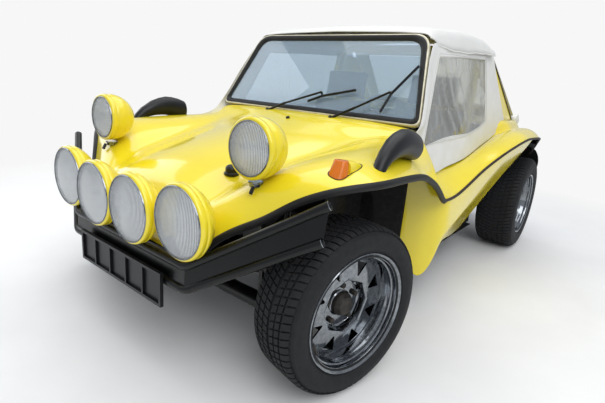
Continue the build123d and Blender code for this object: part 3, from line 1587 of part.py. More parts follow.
def lamp_shells(bumper):
    """Bowls of the four driving lamps, each on a post on the bumper tube."""
    pieces = []
    for centre in LAMP_PLACES:
        x, y, z = at(centre)
        bowl = lamp_shell(centre, LAMP_LENS_R, LAMP_SHELL_T, LAMP_DEPTH)
        foot_x = fore(BUMPER_UPPER[0])
        stem_top = (foot_x, y, z - LAMP_LENS_R + LAMP_STEM_IN)
        stem = post(stem_top, (foot_x, y, BUMPER_UPPER[2] + LAMP_STEM_FOOT), LAMP_STEM_R)
        pieces += both_sides(seated(bowl + stem, bumper))
    return pieces


def indicator(shell, size, low, high):
    """One rounded body of an indicator on each fender, from a low to a high level."""
    x, y, z = at(INDICATOR_AT)
    length, width, _ = size
    with BuildPart() as body:
        with BuildSketch(Plane.XY.offset(z + low)):
            with Locations((x, y)):
                Ellipse(length / 2, width / 2)
        extrude(amount=high - low, taper=INDICATOR_TAPER)
    return both_sides(seated(body.part, shell))


def mirrors(shell):
    """Streamlined mirror pods on the fenders, with the glass recessed in their rear end."""
    sections = []
    for x, z, half_width, half_height in MIRROR_STATIONS:
        with BuildSketch(across(x)) as section:
            with Locations((MIRROR_Y, z)):
                Ellipse(half_width, half_height)
        sections.append(section.sketch)
    x, z, half_width, half_height = MIRROR_STATIONS[-1]
    with BuildPart() as pod:
        loft(sections)
        with BuildSketch(across(x)):
            with Locations((MIRROR_Y, z)):
                Ellipse(half_width - STEEL, half_height - STEEL)
        extrude(amount=STEEL, mode=Mode.SUBTRACT)
        with BuildSketch(Plane.XY.offset(MIRROR_STATIONS[0][1])):
            with Locations((fore(MIRROR_FOOT_X), MIRROR_Y)):
                Ellipse(2 * MIRROR_FOOT_R, MIRROR_FOOT_R)
        extrude(amount=-MIRROR_FOOT_DROP)
    return both_sides(seated(pod.part, shell))


def wipers(shell):
    """Two wiper arms on posts in the cowl, with their blades just off the glass."""
    plane = screen_plane()

    def on_glass(point, lift):
        return tuple(plane.from_local_coords(Vector(point[0], point[1], lift)))

    pieces = []
    for pivot, knee, tip, blade in WIPERS:
        root, bend, end = (on_glass(point, WIPER_ARM_LIFT) for point in (pivot, knee, tip))
        line = [on_glass(point, WIPER_BLADE_LIFT) for point in blade]
        head = on_glass(pivot, WIPER_ARM_LIFT + WIPER_POST_R)
        arm = post(head, on_glass(pivot, -WIPER_POST_R), WIPER_POST_R)
        arm += post(root, bend, WIPER_BLADE_R)
        arm += post(bend, end, WIPER_ARM_R)
        arm += post(end, line[1], WIPER_ARM_R)
        for start, stop in zip(line, line[1:]):
            arm += post(start, stop, WIPER_BLADE_R)
        pieces.append(seated(arm, shell))
    return pieces


def tail_lamps():
    """Round tail lamps on the rear panel."""
    x = fore(BODY_STATIONS[-1][0]) - RUN_CLEAR
    pieces = []
    for y, z, radius in TAIL_LAMPS:
        pieces += both_sides(post((x, y, z), (x - TAIL_LAMP_L, y, z), radius))
    return pieces


def rear_guard():
    """Tube round the engine, carried by the fork ends."""
    low = [
        (fore(GUARD_ROOT_X), FORK_HALF + FORK_W / 2 + RUN_CLEAR, FORK_Z + FORK_W / 2),
        (fore(GUARD_ROOT_X), GUARD_HALF, FORK_Z + FORK_W / 2),
        (fore(GUARD_RISE_X), GUARD_HALF + GUARD_FLARE, GUARD_Z),
        (fore(GUARD_REAR) + GUARD_R, GUARD_HALF - GUARD_FLARE, GUARD_Z),
    ]
    route = low + [(x, -y, z) for x, y, z in reversed(low)]
    return tube(route, GUARD_R, GUARD_BEND)


def main():
    """Builds every sub-part and writes it."""
    shell = body_shell()
    bumper = front_bumper()
    write("body_shell", [shell])
    write("side_panels", side_panels())
    write("floor_pan", [floor_pan()])
    write("tub", [tub()])
    write("windscreen_frame", [windscreen_frame(shell)])
    write("windscreen_glass", [windscreen_glass()])
    write("soft_top_roof", [roof()])
    write("side_curtains", side_curtains(shell))
    write("side_windows", side_windows())
    write("rear_panel", rear_panel(shell))
    write("rear_window", [rear_window()])
    write("roll_bar", [roll_bar(shell)])
    write("dash_panel", [dash_panel()])
    write("steering_column", [steering_column()])
    write("steering_wheel", [steering_wheel()])
    write("cockpit_controls", cockpit_controls())
    write("seats", seats())
    write("seat_frames", seat_frames())
    write("front_beam", [front_beam()])
    write("trailing_arms", trailing_arms())
    write("front_shocks", front_shocks())
    write("drop_arm", [drop_arm()])
    write("tie_rods", tie_rods())
    write("transaxle", [transaxle()])
    write("rear_suspension", [rear_suspension()])
    write("engine", [engine()])
    write("fan_shroud", [fan_shroud()])
    write("exhaust", exhaust())
    write("front_bumper", [bumper])
    write("plate_holder", [plate_holder()])
    write("headlight_shells", headlight_shells(shell))
    write("headlight_lenses", both_sides(lens(HEADLAMP_AT, HEADLAMP_LENS_R)))
    write("lamp_shells", lamp_shells(bumper))
    write("lamp_lenses", [piece for place in LAMP_PLACES for piece in both_sides(lens(place, LAMP_LENS_R))])
    base_top = INDICATOR_BASE[2]
    write("indicator_bases", indicator(shell, INDICATOR_BASE, -10, base_top))
    write("indicators", indicator(shell, INDICATOR_LENS, base_top, base_top + INDICATOR_LENS[2]))
    write("mirrors", mirrors(shell))
    write("wipers", wipers(shell))
    write("tail_lamps", tail_lamps())
    write("rear_guard", [rear_guard()])
    for name, side in (("left", 1), ("right", -1)):
        write(f"knuckle_{name}", [knuckle(side)])
    for label, front in (("front", True), ("rear", False)):
        for end, side in (("left", 1), ("right", -1)):
            centre = wheel_centre(side, front)
            out = outward(side, front)
            if front:
                sizes = (FRONT_TYRE_R, FRONT_TYRE_W, FRONT_RIM_W, FRONT_DISH)
            else:
                sizes = (REAR_TYRE_R, REAR_TYRE_W, REAR_RIM_W, REAR_DISH)
            write(f"tyre_{label}_{end}", [tyre(centre, out, *sizes[:3])])
            write(f"rim_{label}_{end}", [rim(centre, out, *sizes[2:])])
            write(f"drum_{label}_{end}", [drum(centre, out, *sizes[2:])])


if __name__ == "__main__":
    main()
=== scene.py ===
"""Dune buggy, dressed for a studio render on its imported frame.

Metres, +X forward, +Y left, +Z up. Every visible piece rides on a body of the frame.
"""
from math import asin, atan2, copysign, cos, exp, pi, radians, sin, sqrt

import bpy
from bpy.props import FloatProperty, FloatVectorProperty, IntProperty
from mathutils import Matrix, Vector


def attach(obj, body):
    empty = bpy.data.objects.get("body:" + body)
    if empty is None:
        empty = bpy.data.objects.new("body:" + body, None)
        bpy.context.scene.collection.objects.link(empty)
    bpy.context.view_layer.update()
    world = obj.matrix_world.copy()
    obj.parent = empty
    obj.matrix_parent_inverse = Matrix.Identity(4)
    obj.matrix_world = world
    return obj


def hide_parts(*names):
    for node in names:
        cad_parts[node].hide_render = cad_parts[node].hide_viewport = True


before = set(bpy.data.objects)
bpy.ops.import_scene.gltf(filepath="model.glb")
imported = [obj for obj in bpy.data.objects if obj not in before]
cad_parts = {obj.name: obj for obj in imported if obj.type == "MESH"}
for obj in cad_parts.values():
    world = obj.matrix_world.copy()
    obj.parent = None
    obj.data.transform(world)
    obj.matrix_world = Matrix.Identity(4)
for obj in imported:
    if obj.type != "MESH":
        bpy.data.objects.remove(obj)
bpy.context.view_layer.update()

bl_info = {
    "name": "Dune buggy",
    "version": (1, 0, 0),
    "blender": (4, 5, 0),
    "location": "3D View > Sidebar > Buggy",
    "description": "Dresses the frame of a dune buggy with body, wheels, lamps, soft top and finishes",
    "category": "Object",
}

# Axles along X in metres, and how the front wheels stand in the photograph
FRONT_AXLE = 1.110
REAR_AXLE = FRONT_AXLE - 2.065
STEER_AT_REST = radians(-12.1)

# Body stations in millimetres: x from the front axle, height on the centre line, then y and
# z of the hump edge or cockpit rim, the valley, the fender crown and the lip
BODY_STATIONS = (
    (392, 440, 200, 434, 250, 428, 300, 422, 335, 412),
    (374, 530, 190, 524, 250, 512, 310, 500, 350, 470),
    (330, 622, 200, 606, 280, 582, 365, 580, 420, 540),
    (280, 655, 205, 635, 305, 602, 420, 628, 500, 580),
    (220, 682, 210, 658, 315, 632, 490, 690, 600, 660),
    (150, 705, 215, 682, 335, 655, 570, 738, 715, 710),
    (0, 742, 225, 720, 355, 692, 610, 768, 768, 720),
    (-200, 785, 245, 764, 390, 737, 620, 778, 768, 715),
    (-380, 822, 300, 802, 440, 785, 610, 782, 752, 668),
    (-550, 858, 420, 856, 590, 848, 650, 765, 729, 592),
    (-640, 768, 576, 760, 590, 700, 645, 622, 716, 548),
    (-750, 718, 568, 710, 592, 650, 650, 592, 709, 540),
    (-1130, 718, 560, 710, 593, 665, 665, 672, 730, 640),
    (-1400, 788, 560, 775, 592, 700, 700, 765, 780, 735),
    (-1700, 885, 568, 845, 590, 762, 725, 822, 806, 782),
    (-1950, 892, 600, 872, 640, 812, 722, 828, 806, 776),
    (-2200, 880, 598, 865, 635, 802, 702, 806, 765, 735),
    (-2400, 812, 530, 795, 575, 722, 640, 735, 700, 630),
)
# Front and rear end of the cockpit's opening
COWL_X = -590
DECK_X = -1650


def place(x, y, z):
    """A point in millimetres from the front axle, as metres in the frame."""
    return Vector((FRONT_AXLE + x / 1000, y / 1000, z / 1000))


def linear(code):
    """An sRGB hex colour as linear values."""
    values = [int(code[i : i + 2], 16) / 255 for i in (1, 3, 5)]
    return tuple(v / 12.92 if v <= 0.04045 else ((v + 0.055) / 1.055) ** 2.4 for v in values)


# Sizes and colours that a user may change


class BuggySizes(bpy.types.PropertyGroup):
    """Sizes of the pieces that the scene adds."""

    skin: FloatProperty(
        name="Skin", description="Thickness of the glass fibre", default=0.006, unit="LENGTH"
    )
    lip_radius: FloatProperty(
        name="Lip rubber", description="Radius of the front fenders' rubber", default=0.012, unit="LENGTH"
    )
    piping_radius: FloatProperty(
        name="Piping", description="Radius of the piping under the body", default=0.0068, unit="LENGTH"
    )
    tread_depth: FloatProperty(
        name="Tread depth", description="Depth of the tyre grooves", default=0.006, unit="LENGTH"
    )
    tread_pitches: IntProperty(name="Tread pitches", description="Blocks round a tyre", default=72, min=24)
    vinyl: FloatProperty(
        name="Vinyl", description="Thickness of the coated cloth", default=0.0015, unit="LENGTH"
    )


class BuggyColours(bpy.types.PropertyGroup):
    """Colours of the main finishes, linear."""

    gelcoat: FloatVectorProperty(
        name="Gelcoat", description="Body colour", subtype="COLOR", size=3, default=linear("#EAD524")
    )
    vinyl: FloatVectorProperty(
        name="Soft top", description="Coated cloth", subtype="COLOR", size=3, default=linear("#DADAD7")
    )
    rubber: FloatVectorProperty(
        name="Tyre", description="Tyre rubber", subtype="COLOR", size=3, default=linear("#18191B")
    )
    amber: FloatVectorProperty(
        name="Indicator", description="Indicator lens", subtype="COLOR", size=3, default=linear("#F0841E")
    )


def sizes():
    """The sizes in use."""
    return bpy.context.scene.buggy_sizes


def colours():
    """The colours in use."""
    return bpy.context.scene.buggy_colours


# Modelling helpers

# Vertices closer together than this are one
DOUBLES = 0.00002
SIDES = (("left", 1), ("right", -1))


def deselect():
    """Leaves edit mode and selects nothing."""
    if bpy.context.object and bpy.context.object.mode != "OBJECT":
        bpy.ops.object.mode_set(mode="OBJECT")
    bpy.ops.object.select_all(action="DESELECT")


def activate(obj):
    """Selects one object and makes it active."""
    deselect()
    obj.select_set(True)
    bpy.context.view_layer.objects.active = obj


def settle(obj):
    """Moves an object's place into its mesh."""
    activate(obj)
    bpy.ops.object.transform_apply(location=True, rotation=True, scale=True)
    return obj


def modify(obj, kind, **settings):
    """Adds a modifier and applies it."""
    activate(obj)
    modifier = obj.modifiers.new(kind.title(), kind)
    for key, value in settings.items():
        setattr(modifier, key, value)
    bpy.ops.object.modifier_apply(modifier=modifier.name)
    return obj


def subdivided(obj, levels):
    """Rounds a mesh by subdivision."""
    return modify(obj, "SUBSURF", levels=levels, render_levels=levels)


def thickened(sheet, thickness, offset=0):
    """Rounds a sheet and gives it its wall; returns its area, which is measured first."""
    area = sum(face.area for face in sheet.data.polygons)
    subdivided(sheet, 1)
    modify(sheet, "SOLIDIFY", thickness=thickness, offset=offset)
    return area


def edit_all(obj):
    """Opens an object in edit mode with all of it selected."""
    activate(obj)
    bpy.ops.object.mode_set(mode="EDIT")
    bpy.ops.mesh.select_all(action="SELECT")


def remove(*objs):
    """Deletes objects that were only needed to make others."""
    for obj in objs:
        activate(obj)
        bpy.ops.object.delete()


def pick_faces(obj, test):
    """Selects the faces that a test of their index and middle accepts, in edit mode."""
    activate(obj)
    bpy.ops.object.mode_set(mode="EDIT")
    bpy.ops.mesh.select_mode(type="FACE")
    bpy.ops.mesh.select_all(action="DESELECT")
    bpy.ops.object.mode_set(mode="OBJECT")
    for face in obj.data.polygons:
        face.select = test(face.index, face.center)
    bpy.ops.object.mode_set(mode="EDIT")


def merged(obj):
    """Merges doubles and turns the faces outwards."""
    edit_all(obj)
    bpy.ops.mesh.remove_doubles(threshold=DOUBLES)
    bpy.ops.mesh.normals_make_consistent(inside=False)
    bpy.ops.object.mode_set(mode="OBJECT")
    return obj


def smooth(obj, angle=35):
    """Shades smooth up to an angle in degrees."""
    activate(obj)
    bpy.ops.object.shade_smooth_by_angle(angle=radians(angle))
    return obj


def dress(obj, name, body, kind, replaces=()):
    """Names a finished piece, gives it a kind of finish and puts it on its body."""
    obj.name = name
    obj.data.name = name
    obj.data.materials.clear()
    obj.data.materials.append(finish(kind))
    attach(obj, body)
    if replaces:
        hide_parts(*replaces)
    return obj


def skin(rows, skip=()):
    """A grid primitive laid through rows of points; faces in skip, as row and column, are cut out."""
    across, down = len(rows[0]), len(rows)
    deselect()
    bpy.ops.mesh.primitive_grid_add(x_subdivisions=across - 1, y_subdivisions=down - 1, size=2)
    obj = bpy.context.object
    mesh = obj.data
    order = sorted(mesh.vertices, key=lambda v: (round(v.co.y, 4), round(v.co.x, 4)))
    if len(order) != across * down:
        raise RuntimeError("grid primitive has another count of vertices")
    # Row and column of each face, read while the grid is still flat
    cells = {}
    for face in mesh.polygons:
        x, y, _ = face.center
        cells[face.index] = (int((y + 1) / 2 * (down - 1)), int((x + 1) / 2 * (across - 1)))
    for vertex, point in zip(order, [p for row in rows for p in row]):
        vertex.co = point
    if skip:
        gone = set(skip)
        pick_faces(obj, lambda index, middle: cells[index] in gone)
        bpy.ops.mesh.delete(type="FACE")
        bpy.ops.object.mode_set(mode="OBJECT")
    return obj


def turned(profile, closed=False, steps=64):
    """A profile of radius and height points spun about the Y axis."""
    deselect()
    bpy.ops.mesh.primitive_circle_add(vertices=len(profile), fill_type="NOTHING")
    obj = bpy.context.object
    for vertex, (radius, along) in zip(obj.data.vertices, profile):
        vertex.co = (radius, along, 0)
    bpy.ops.object.mode_set(mode="EDIT")
    if not closed:
        # The edge that closes the circle goes
        bpy.ops.mesh.select_all(action="DESELECT")
        bpy.ops.object.mode_set(mode="OBJECT")
        last = len(profile) - 1
        for edge in obj.data.edges:
            edge.select = set(edge.vertices) == {0, last}
        bpy.ops.object.mode_set(mode="EDIT")
        bpy.ops.mesh.select_mode(type="EDGE")
        bpy.ops.mesh.delete(type="EDGE")
    bpy.ops.mesh.select_all(action="SELECT")
    bpy.ops.mesh.spin(steps=steps, angle=2 * pi, center=(0, 0, 0), axis=(0, 1, 0))
    bpy.ops.object.mode_set(mode="OBJECT")
    return merged(obj)


def aim(origin, direction, up=(0, 0, 1)):
    """A matrix that lays local Y along a direction, with local Z near up."""
    y = Vector(direction).normalized()
    x = y.cross(Vector(up)).normalized()
    z = x.cross(y)
    turn = Matrix((x, y, z)).transposed().to_4x4()
    return Matrix.Translation(origin) @ turn


def moved(obj, matrix):
    """Moves a mesh by a matrix."""
    obj.data.transform(matrix)
    return obj


def copied(obj, matrix):
    """A copy of an object with its own mesh, moved by a matrix."""
    activate(obj)
    bpy.ops.object.duplicate(linked=False)
    return moved(bpy.context.object, matrix)


def joined(objs):
    """Several meshes as one."""
    activate(objs[0])
    for obj in objs:
        obj.select_set(True)
    if len(objs) > 1:
        bpy.ops.object.join()
    return bpy.context.object


def mirrored(obj):
    """The mirror image of a mesh across the middle of the car."""
    twin = copied(obj, Matrix.Diagonal((1, -1, 1, 1)))
    edit_all(twin)
    bpy.ops.mesh.flip_normals()
    bpy.ops.object.mode_set(mode="OBJECT")
    return twin


def dress_pair(obj, name, kind, replaces=()):
    """Joins a piece of the chassis with its mirror image and dresses both as one."""
    return dress(joined([obj, mirrored(obj)]), name, "chassis", kind, replaces)


def tube(points, radius, closed=False, kind="NURBS"):
    """A round tube that follows points."""
    deselect()
    curve = bpy.data.curves.new("tube", "CURVE")
    curve.dimensions = "3D"
    spline = curve.splines.new(kind)
    spline.points.add(len(points) - 1)
    for target, point in zip(spline.points, points):
        target.co = (*point, 1)
    spline.use_cyclic_u = closed
    if kind == "NURBS":
        spline.order_u = 4
        spline.use_endpoint_u = not closed
    curve.resolution_u = 6
    curve.bevel_depth = radius
    curve.bevel_resolution = 4
    curve.use_fill_caps = not closed
    obj = bpy.data.objects.new("tube", curve)
    bpy.context.collection.objects.link(obj)
    activate(obj)
    bpy.ops.object.convert(target="MESH")
    return smooth(bpy.context.object, 50)


def block(low, high, bevel=0.002, segments=2):
    """A box with rounded edges."""
    low, high = Vector(low), Vector(high)
    deselect()
    bpy.ops.mesh.primitive_cube_add(size=1, location=(low + high) / 2, scale=high - low)
    edit_all(settle(bpy.context.object))
    bpy.ops.mesh.bevel(offset=bevel, segments=segments)
    bpy.ops.object.mode_set(mode="OBJECT")
    return smooth(bpy.context.object)


def rod(start, end, radius, bevel=0.0005, sides=20):
    """A straight round rod with rounded ends."""
    start, end = Vector(start), Vector(end)
    run = (end - start).length
    edge = min(bevel, radius / 3)
    half = [(0, 0), (radius - edge, 0), (radius, edge)]
    profile = half + [(r, run - y) for r, y in reversed(half)]
    up = (1, 0, 0) if abs((end - start).normalized().z) > 0.9 else (0, 0, 1)
    return moved(smooth(turned(profile, steps=sides)), aim(start, end - start, up))


def even(table, spacing):
    """A table's rows with more between them, about a spacing apart, smooth and with no overshoot."""
    xs = [row[0] for row in table]
    steps = [b - a for a, b in zip(xs, xs[1:])]
    columns = list(zip(*table))
    # Slopes at the rows, level where a column turns, so that no value passes those of its rows
    slopes = []
    for column in columns:
        rises = [(b - a) / h for a, b, h in zip(column, column[1:], steps)]
        slope = [rises[0]]
        for i in range(1, len(rises)):
            if rises[i - 1] * rises[i] <= 0:
                slope.append(0)
            else:
                w1, w2 = 2 * steps[i] + steps[i - 1], steps[i] + 2 * steps[i - 1]
                slope.append((w1 + w2) / (w1 / rises[i - 1] + w2 / rises[i]))
        slopes.append(slope + [rises[-1]])
    rows = []
    for i, step in enumerate(steps):
        pieces = max(1, round(abs(step) / spacing))
        for part in range(pieces):
            t = part / pieces
            h00, h10 = 2 * t**3 - 3 * t**2 + 1, t**3 - 2 * t**2 + t
            h01, h11 = 3 * t**2 - 2 * t**3, t**3 - t**2
            rows.append(
                [
                    h00 * c[i] + h10 * step * s[i] + h01 * c[i + 1] + h11 * step * s[i + 1]
                    for c, s in zip(columns, slopes)
                ]
            )
    return rows + [list(table[-1])]


def arc(a, b, c, count):
    """Points along the circle through three points of a plane, ends included."""
    (ax, ay), (bx, by), (cx, cy) = a, b, c
    d = 2 * (ax * (by - cy) + bx * (cy - ay) + cx * (ay - by))
    shares = [i / (count - 1) for i in range(count)]
    # Three points on one line have no circle
    if abs(d) < 1e-6:
        return [(ax + (cx - ax) * share, ay + (cy - ay) * share) for share in shares]
    qa, qb, qc = ax**2 + ay**2, bx**2 + by**2, cx**2 + cy**2
    ux = (qa * (by - cy) + qb * (cy - ay) + qc * (ay - by)) / d
    uy = (qa * (cx - bx) + qb * (ax - cx) + qc * (bx - ax)) / d
    r = sqrt((ax - ux) ** 2 + (ay - uy) ** 2)
    start, middle, end = (atan2(y - uy, x - ux) for x, y in (a, b, c))
    turn = (end - start) % (2 * pi)
    if (middle - start) % (2 * pi) > turn:
        turn -= 2 * pi
    return [(ux + r * cos(start + turn * share), uy + r * sin(start + turn * share)) for share in shares]


def crowned(top, side_y, side_z, count):
    """An arc from the middle of the car to a point at the side, fuller than a straight slope."""
    return arc((0, top), (0.6 * side_y, top - 0.36 * (top - side_z)), (side_y, side_z), count)


# Finishes

# Patterns: texture node, the output that is read, its scale for cells or bands one metre apart, and the
# settings that it starts from
CLOUDS = ("ShaderNodeTexNoise", "Fac", 1, {"Detail": 4.0, "Roughness": 0.55})
CELLS = ("ShaderNodeTexVoronoi", "Distance", 1, {})
BANDS = ("ShaderNodeTexWave", "Fac", 2 * pi / 20, {})
BLEND = (0.3, 0.7)
# Plain white of the background, which camera and glass see, and where the floor starts and ends to
# turn into it, in metres from the middle
BACKDROP = (0.93, 0.93, 0.93, 1)
FLOOR_FADE = (1.9, 3.6)


def add_node(tree, kind, settings=None, links=None):
    """Adds a node with its settings and its links from other sockets."""
    node = tree.nodes.new(kind)
    for key, value in (settings or {}).items():
        if isinstance(key, int) or key in node.inputs:
            node.inputs[key].default_value = value
        else:
            setattr(node, key, value)
    for key, socket in (links or {}).items():
        tree.links.new(socket, node.inputs[key])
    return node


def layered(name, layers, **shader):
    """A material of one surface shader with plain values and patterns laid over them.

    A layer says which socket it feeds, its pattern, the pattern's size in millimetres, settings, and two
    values: colours for the base colour, values for the roughness, or height in millimetres and strength
    for a relief, which lies on the relief before it. Among the settings, stretch scales a pattern along
    the axes and blend says where it turns from its low to its high end.
    """
    material = bpy.data.materials.new(name)
    material.use_nodes = True
    tree = material.node_tree
    surface = tree.nodes["Principled BSDF"]
    for key, value in shader.items():
        socket = surface.inputs[key.replace("_", " ")]
        socket.default_value = (*value, 1) if isinstance(value, tuple) else value
    spot = add_node(tree, "ShaderNodeTexCoord").outputs["Object"]
    relief = {}
    for socket, (kind, output, metre, usual), size, changes, low, high in layers:
        settings = {"Scale": metre * 1000 / size, **usual, **changes}
        stretch, blend = settings.pop("stretch", (1, 1, 1)), settings.pop("blend", None)
        mapping = add_node(tree, "ShaderNodeMapping", {"Scale": stretch}, {"Vector": spot})
        value = add_node(tree, kind, settings, {"Vector": mapping.outputs["Vector"]}).outputs[output]
        if blend or socket == "Base Color":
            ends = (low, high) if socket == "Base Color" else ((0, 0, 0), (1, 1, 1))
            ramp = add_node(tree, "ShaderNodeValToRGB", links={"Fac": value})
            for element, position, colour in zip(ramp.color_ramp.elements, blend or BLEND, ends):
                element.position = position
                element.color = (*colour, 1)
            value = ramp.outputs["Color"]
        if socket == "Roughness":
            span = {"To Min": low, "To Max": high}
            value = add_node(tree, "ShaderNodeMapRange", span, {"Value": value}).outputs["Result"]
        if socket == "Normal":
            height = {"Distance": low / 1000, "Strength": high}
            value = add_node(tree, "ShaderNodeBump", height, {"Height": value, **relief}).outputs["Normal"]
            relief = {"Normal": value}
        tree.links.new(value, surface.inputs[socket])
    return material


def shade(colour, factor):
    """A colour made darker or lighter."""
    return tuple(min(1.0, v * factor) for v in colour)


def gelcoat():
    """Gelcoat on glass fibre: a glossy, thick pigmented resin with a faint orange peel."""
    base = tuple(colours().gelcoat)
    layers = (
        ("Base Color", CLOUDS, 350, {}, shade(base, 0.94), shade(base, 1.04)),
        ("Roughness", CLOUDS, 50, {}, 0.14, 0.26),
        ("Normal", CLOUDS, 35, {"Detail": 2.0}, 0.6, 0.35),
    )
    shine = {"Coat_Weight": 0.6, "Coat_Roughness": 0.06}
    return layered("gelcoat_glass_fibre", layers, Roughness=0.2, IOR=1.5, **shine)


def coated_cloth():
    """Coated cloth: white vinyl on a woven backing, with a fine leather-like grain."""
    base = tuple(colours().vinyl)
    layers = (
        ("Base Color", CLOUDS, 120, {"Detail": 6.0, "blend": (0.25, 0.6)}, shade(base, 0.93), base),
        ("Roughness", CLOUDS, 30, {}, 0.42, 0.6),
        # The real grain is under a millimetre; it is drawn coarser so that it shows
        ("Normal", CELLS, 2.2, {}, 0.3, 0.4),
        ("Normal", CLOUDS, 60, {"Detail": 3.0}, 4, 0.5),
    )
    return layered("coated_cloth_vinyl", layers, Roughness=0.5, IOR=1.5)


def clear_vinyl():
    """Clear vinyl sheet: soft and a little cloudy, creased where it was folded."""
    layers = (
        ("Normal", CLOUDS, 160, {"Detail": 3.0, "stretch": (1.0, 1.0, 0.45)}, 20, 0.5),
        # Creases, nine to a metre
        ("Normal", CELLS, 1000 / 9, {"feature": "DISTANCE_TO_EDGE", "blend": (0.0, 0.05)}, 3, 0.5),
    )
    base = linear("#E6E8E4")
    return layered(
        "clear_vinyl_sheet", layers, Base_Color=base, Roughness=0.1, IOR=1.5, Transmission_Weight=0.86
    )


def tyre_rubber():
    """Vulcanised tyre rubber: charcoal, dull, with road dust in the grooves."""
    base = tuple(colours().rubber)
    layers = (
        ("Base Color", CLOUDS, 20, {"Detail": 8.0}, shade(base, 0.7), shade(base, 1.35)),
        ("Roughness", CLOUDS, 10, {}, 0.6, 0.9),
        ("Normal", CLOUDS, 1.5, {}, 0.3, 0.5),
    )
    return layered("tyre_rubber_vulcanised", layers, Roughness=0.8, Specular_IOR_Level=0.35)


def moulded_rubber(name="moulded_rubber_black", colour="#121213"):
    """Extruded rubber: satin, with fine flow lines."""
    base = linear(colour)
    layers = (
        ("Base Color", CLOUDS, 40, {"Detail": 6.0}, shade(base, 0.75), shade(base, 1.3)),
        ("Normal", CLOUDS, 3, {}, 0.3, 0.4),
    )
    return layered(name, layers, Roughness=0.55, Specular_IOR_Level=0.35)


def painted_steel(name="painted_steel_black", colour="#070808", roughness=0.26):
    """Brushed or sprayed black enamel: fairly glossy on steel tube, slightly uneven."""
    base = linear(colour)
    layers = (
        ("Base Color", CLOUDS, 50, {"Detail": 6.0}, shade(base, 0.8), shade(base, 1.25)),
        ("Roughness", CLOUDS, 20, {"Detail": 6.0}, roughness * 0.8, roughness * 1.5),
        ("Normal", CLOUDS, 8, {}, 0.4, 0.35),
    )
    return layered(name, layers, Roughness=roughness, Specular_IOR_Level=0.3, Coat_Weight=0.08)


def chromed_steel():
    """Chromed pressed steel: mirrors its surroundings, toned down by painted shade that darkens it well
    below bright chrome, and by haze and brake dust.
    """
    layers = (
        # Both colours are far darker than bright chrome: painted shade, so that reflections of the white
        # studio read as darker surroundings
        ("Base Color", CLOUDS, 12, {"Detail": 6.0}, linear("#71757A"), linear("#93979B")),
        ("Roughness", CLOUDS, 12, {"Detail": 6.0}, 0.07, 0.16),
        ("Normal", CLOUDS, 30, {"Detail": 2.0}, 0.2, 0.12),
    )
    return layered("chromed_steel_pressed", layers, Metallic=1.0, Roughness=0.12)


def pale_metal():
    """Anodised aluminium trim, aged to a warm cream, with fine lines from its rolling."""
    layers = (
        ("Base Color", CLOUDS, 40, {"Detail": 6.0}, linear("#B9B29A"), linear("#DDD8C4")),
        ("Normal", CLOUDS, 2, {"Detail": 2.0, "stretch": (1, 8, 1)}, 0.2, 0.3),
    )
    return layered("anodised_aluminium_trim", layers, Metallic=0.35, Roughness=0.4)


def cast_alloy():
    """Sand cast light alloy: matt grey, oily in places."""
    layers = (
        ("Base Color", CLOUDS, 50, {"Detail": 8.0}, linear("#5B5A56"), linear("#9A9A96")),
        ("Roughness", CLOUDS, 20, {}, 0.4, 0.75),
        ("Normal", CLOUDS, 2.5, {}, 0.6, 0.6),
    )
    return layered("cast_aluminium_alloy", layers, Metallic=0.8, Roughness=0.55)


def dark_iron():
    """Cast iron and forged steel, darkened by oil and road film."""
    layers = (
        ("Base Color", CLOUDS, 30, {"Detail": 8.0}, linear("#232221"), linear("#47423D")),
        ("Normal", CLOUDS, 2, {}, 0.5, 0.6),
    )
    return layered("cast_iron_dark", layers, Metallic=0.6, Roughness=0.6)


def plain_steel():
    """Rolled steel of the exhaust: blued and browned by heat."""
    layers = (
        ("Base Color", CLOUDS, 80, {"Detail": 6.0}, linear("#6B6259"), linear("#9C9A97")),
        ("Normal", CLOUDS, 3, {}, 0.4, 0.5),
    )
    return layered("rolled_steel_heated", layers, Metallic=1.0, Roughness=0.45)


def moulded_plastic():
    """Moulded ABS: satin black with a spark-eroded grain."""
    base = linear("#0F1013")
    layers = (
        ("Base Color", CLOUDS, 50, {}, shade(base, 0.85), shade(base, 1.15)),
        ("Normal", CLOUDS, 1.2, {}, 0.2, 0.5),
    )
    return layered("abs_moulded_black", layers, Roughness=0.38, Specular_IOR_Level=0.35)


def seat_vinyl():
    """Embossed upholstery vinyl: black, grained and a little worn, lighter in blotches."""
    layers = (
        ("Base Color", CLOUDS, 80, {"Detail": 6.0}, linear("#141416"), linear("#26262A")),
        # The embossed grain is about a millimetre; it is drawn coarser so that it shows
        ("Normal", CELLS, 3, {}, 0.5, 0.6),
    )
    return layered("upholstery_vinyl_black", layers, Roughness=0.5, IOR=1.5)


def sheet_glass():
    """Laminated windscreen glass: flat and clear, with a bluish tint that is partly a painted reflection of
    blue sky.
    """
    layers = (("Normal", CLOUDS, 500, {"Detail": 1.0}, 2, 0.1),)
    # The pale blue is partly the glass's tint and partly a painted reflection of sky, scattered by the
    # share of the glass that does not let light through
    base = linear("#C2D8EA")
    return layered(
        "laminated_glass", layers, Base_Color=base, Roughness=0.0, IOR=1.52, Transmission_Weight=0.72
    )


def fluted_glass():
    """Pressed lens glass: clear, with upright flutes 6 mm apart that break up what is behind."""
    layers = (("Normal", BANDS, 6, {"bands_direction": "Y"}, 1.2, 0.8),)
    base = linear("#F7FAFC")
    return layered(
        "pressed_glass_fluted", layers, Base_Color=base, Roughness=0.06, IOR=1.5, Transmission_Weight=0.8
    )


def reflector():
    """Silvered reflector of a lamp: pale and softly bright."""
    layers = (("Normal", CLOUDS, 10, {"Detail": 2.0}, 0.3, 0.2),)
    return layered(
        "silvered_reflector", layers, Base_Color=linear("#F4F6F8"), Metallic=0.75, Roughness=0.3
    )


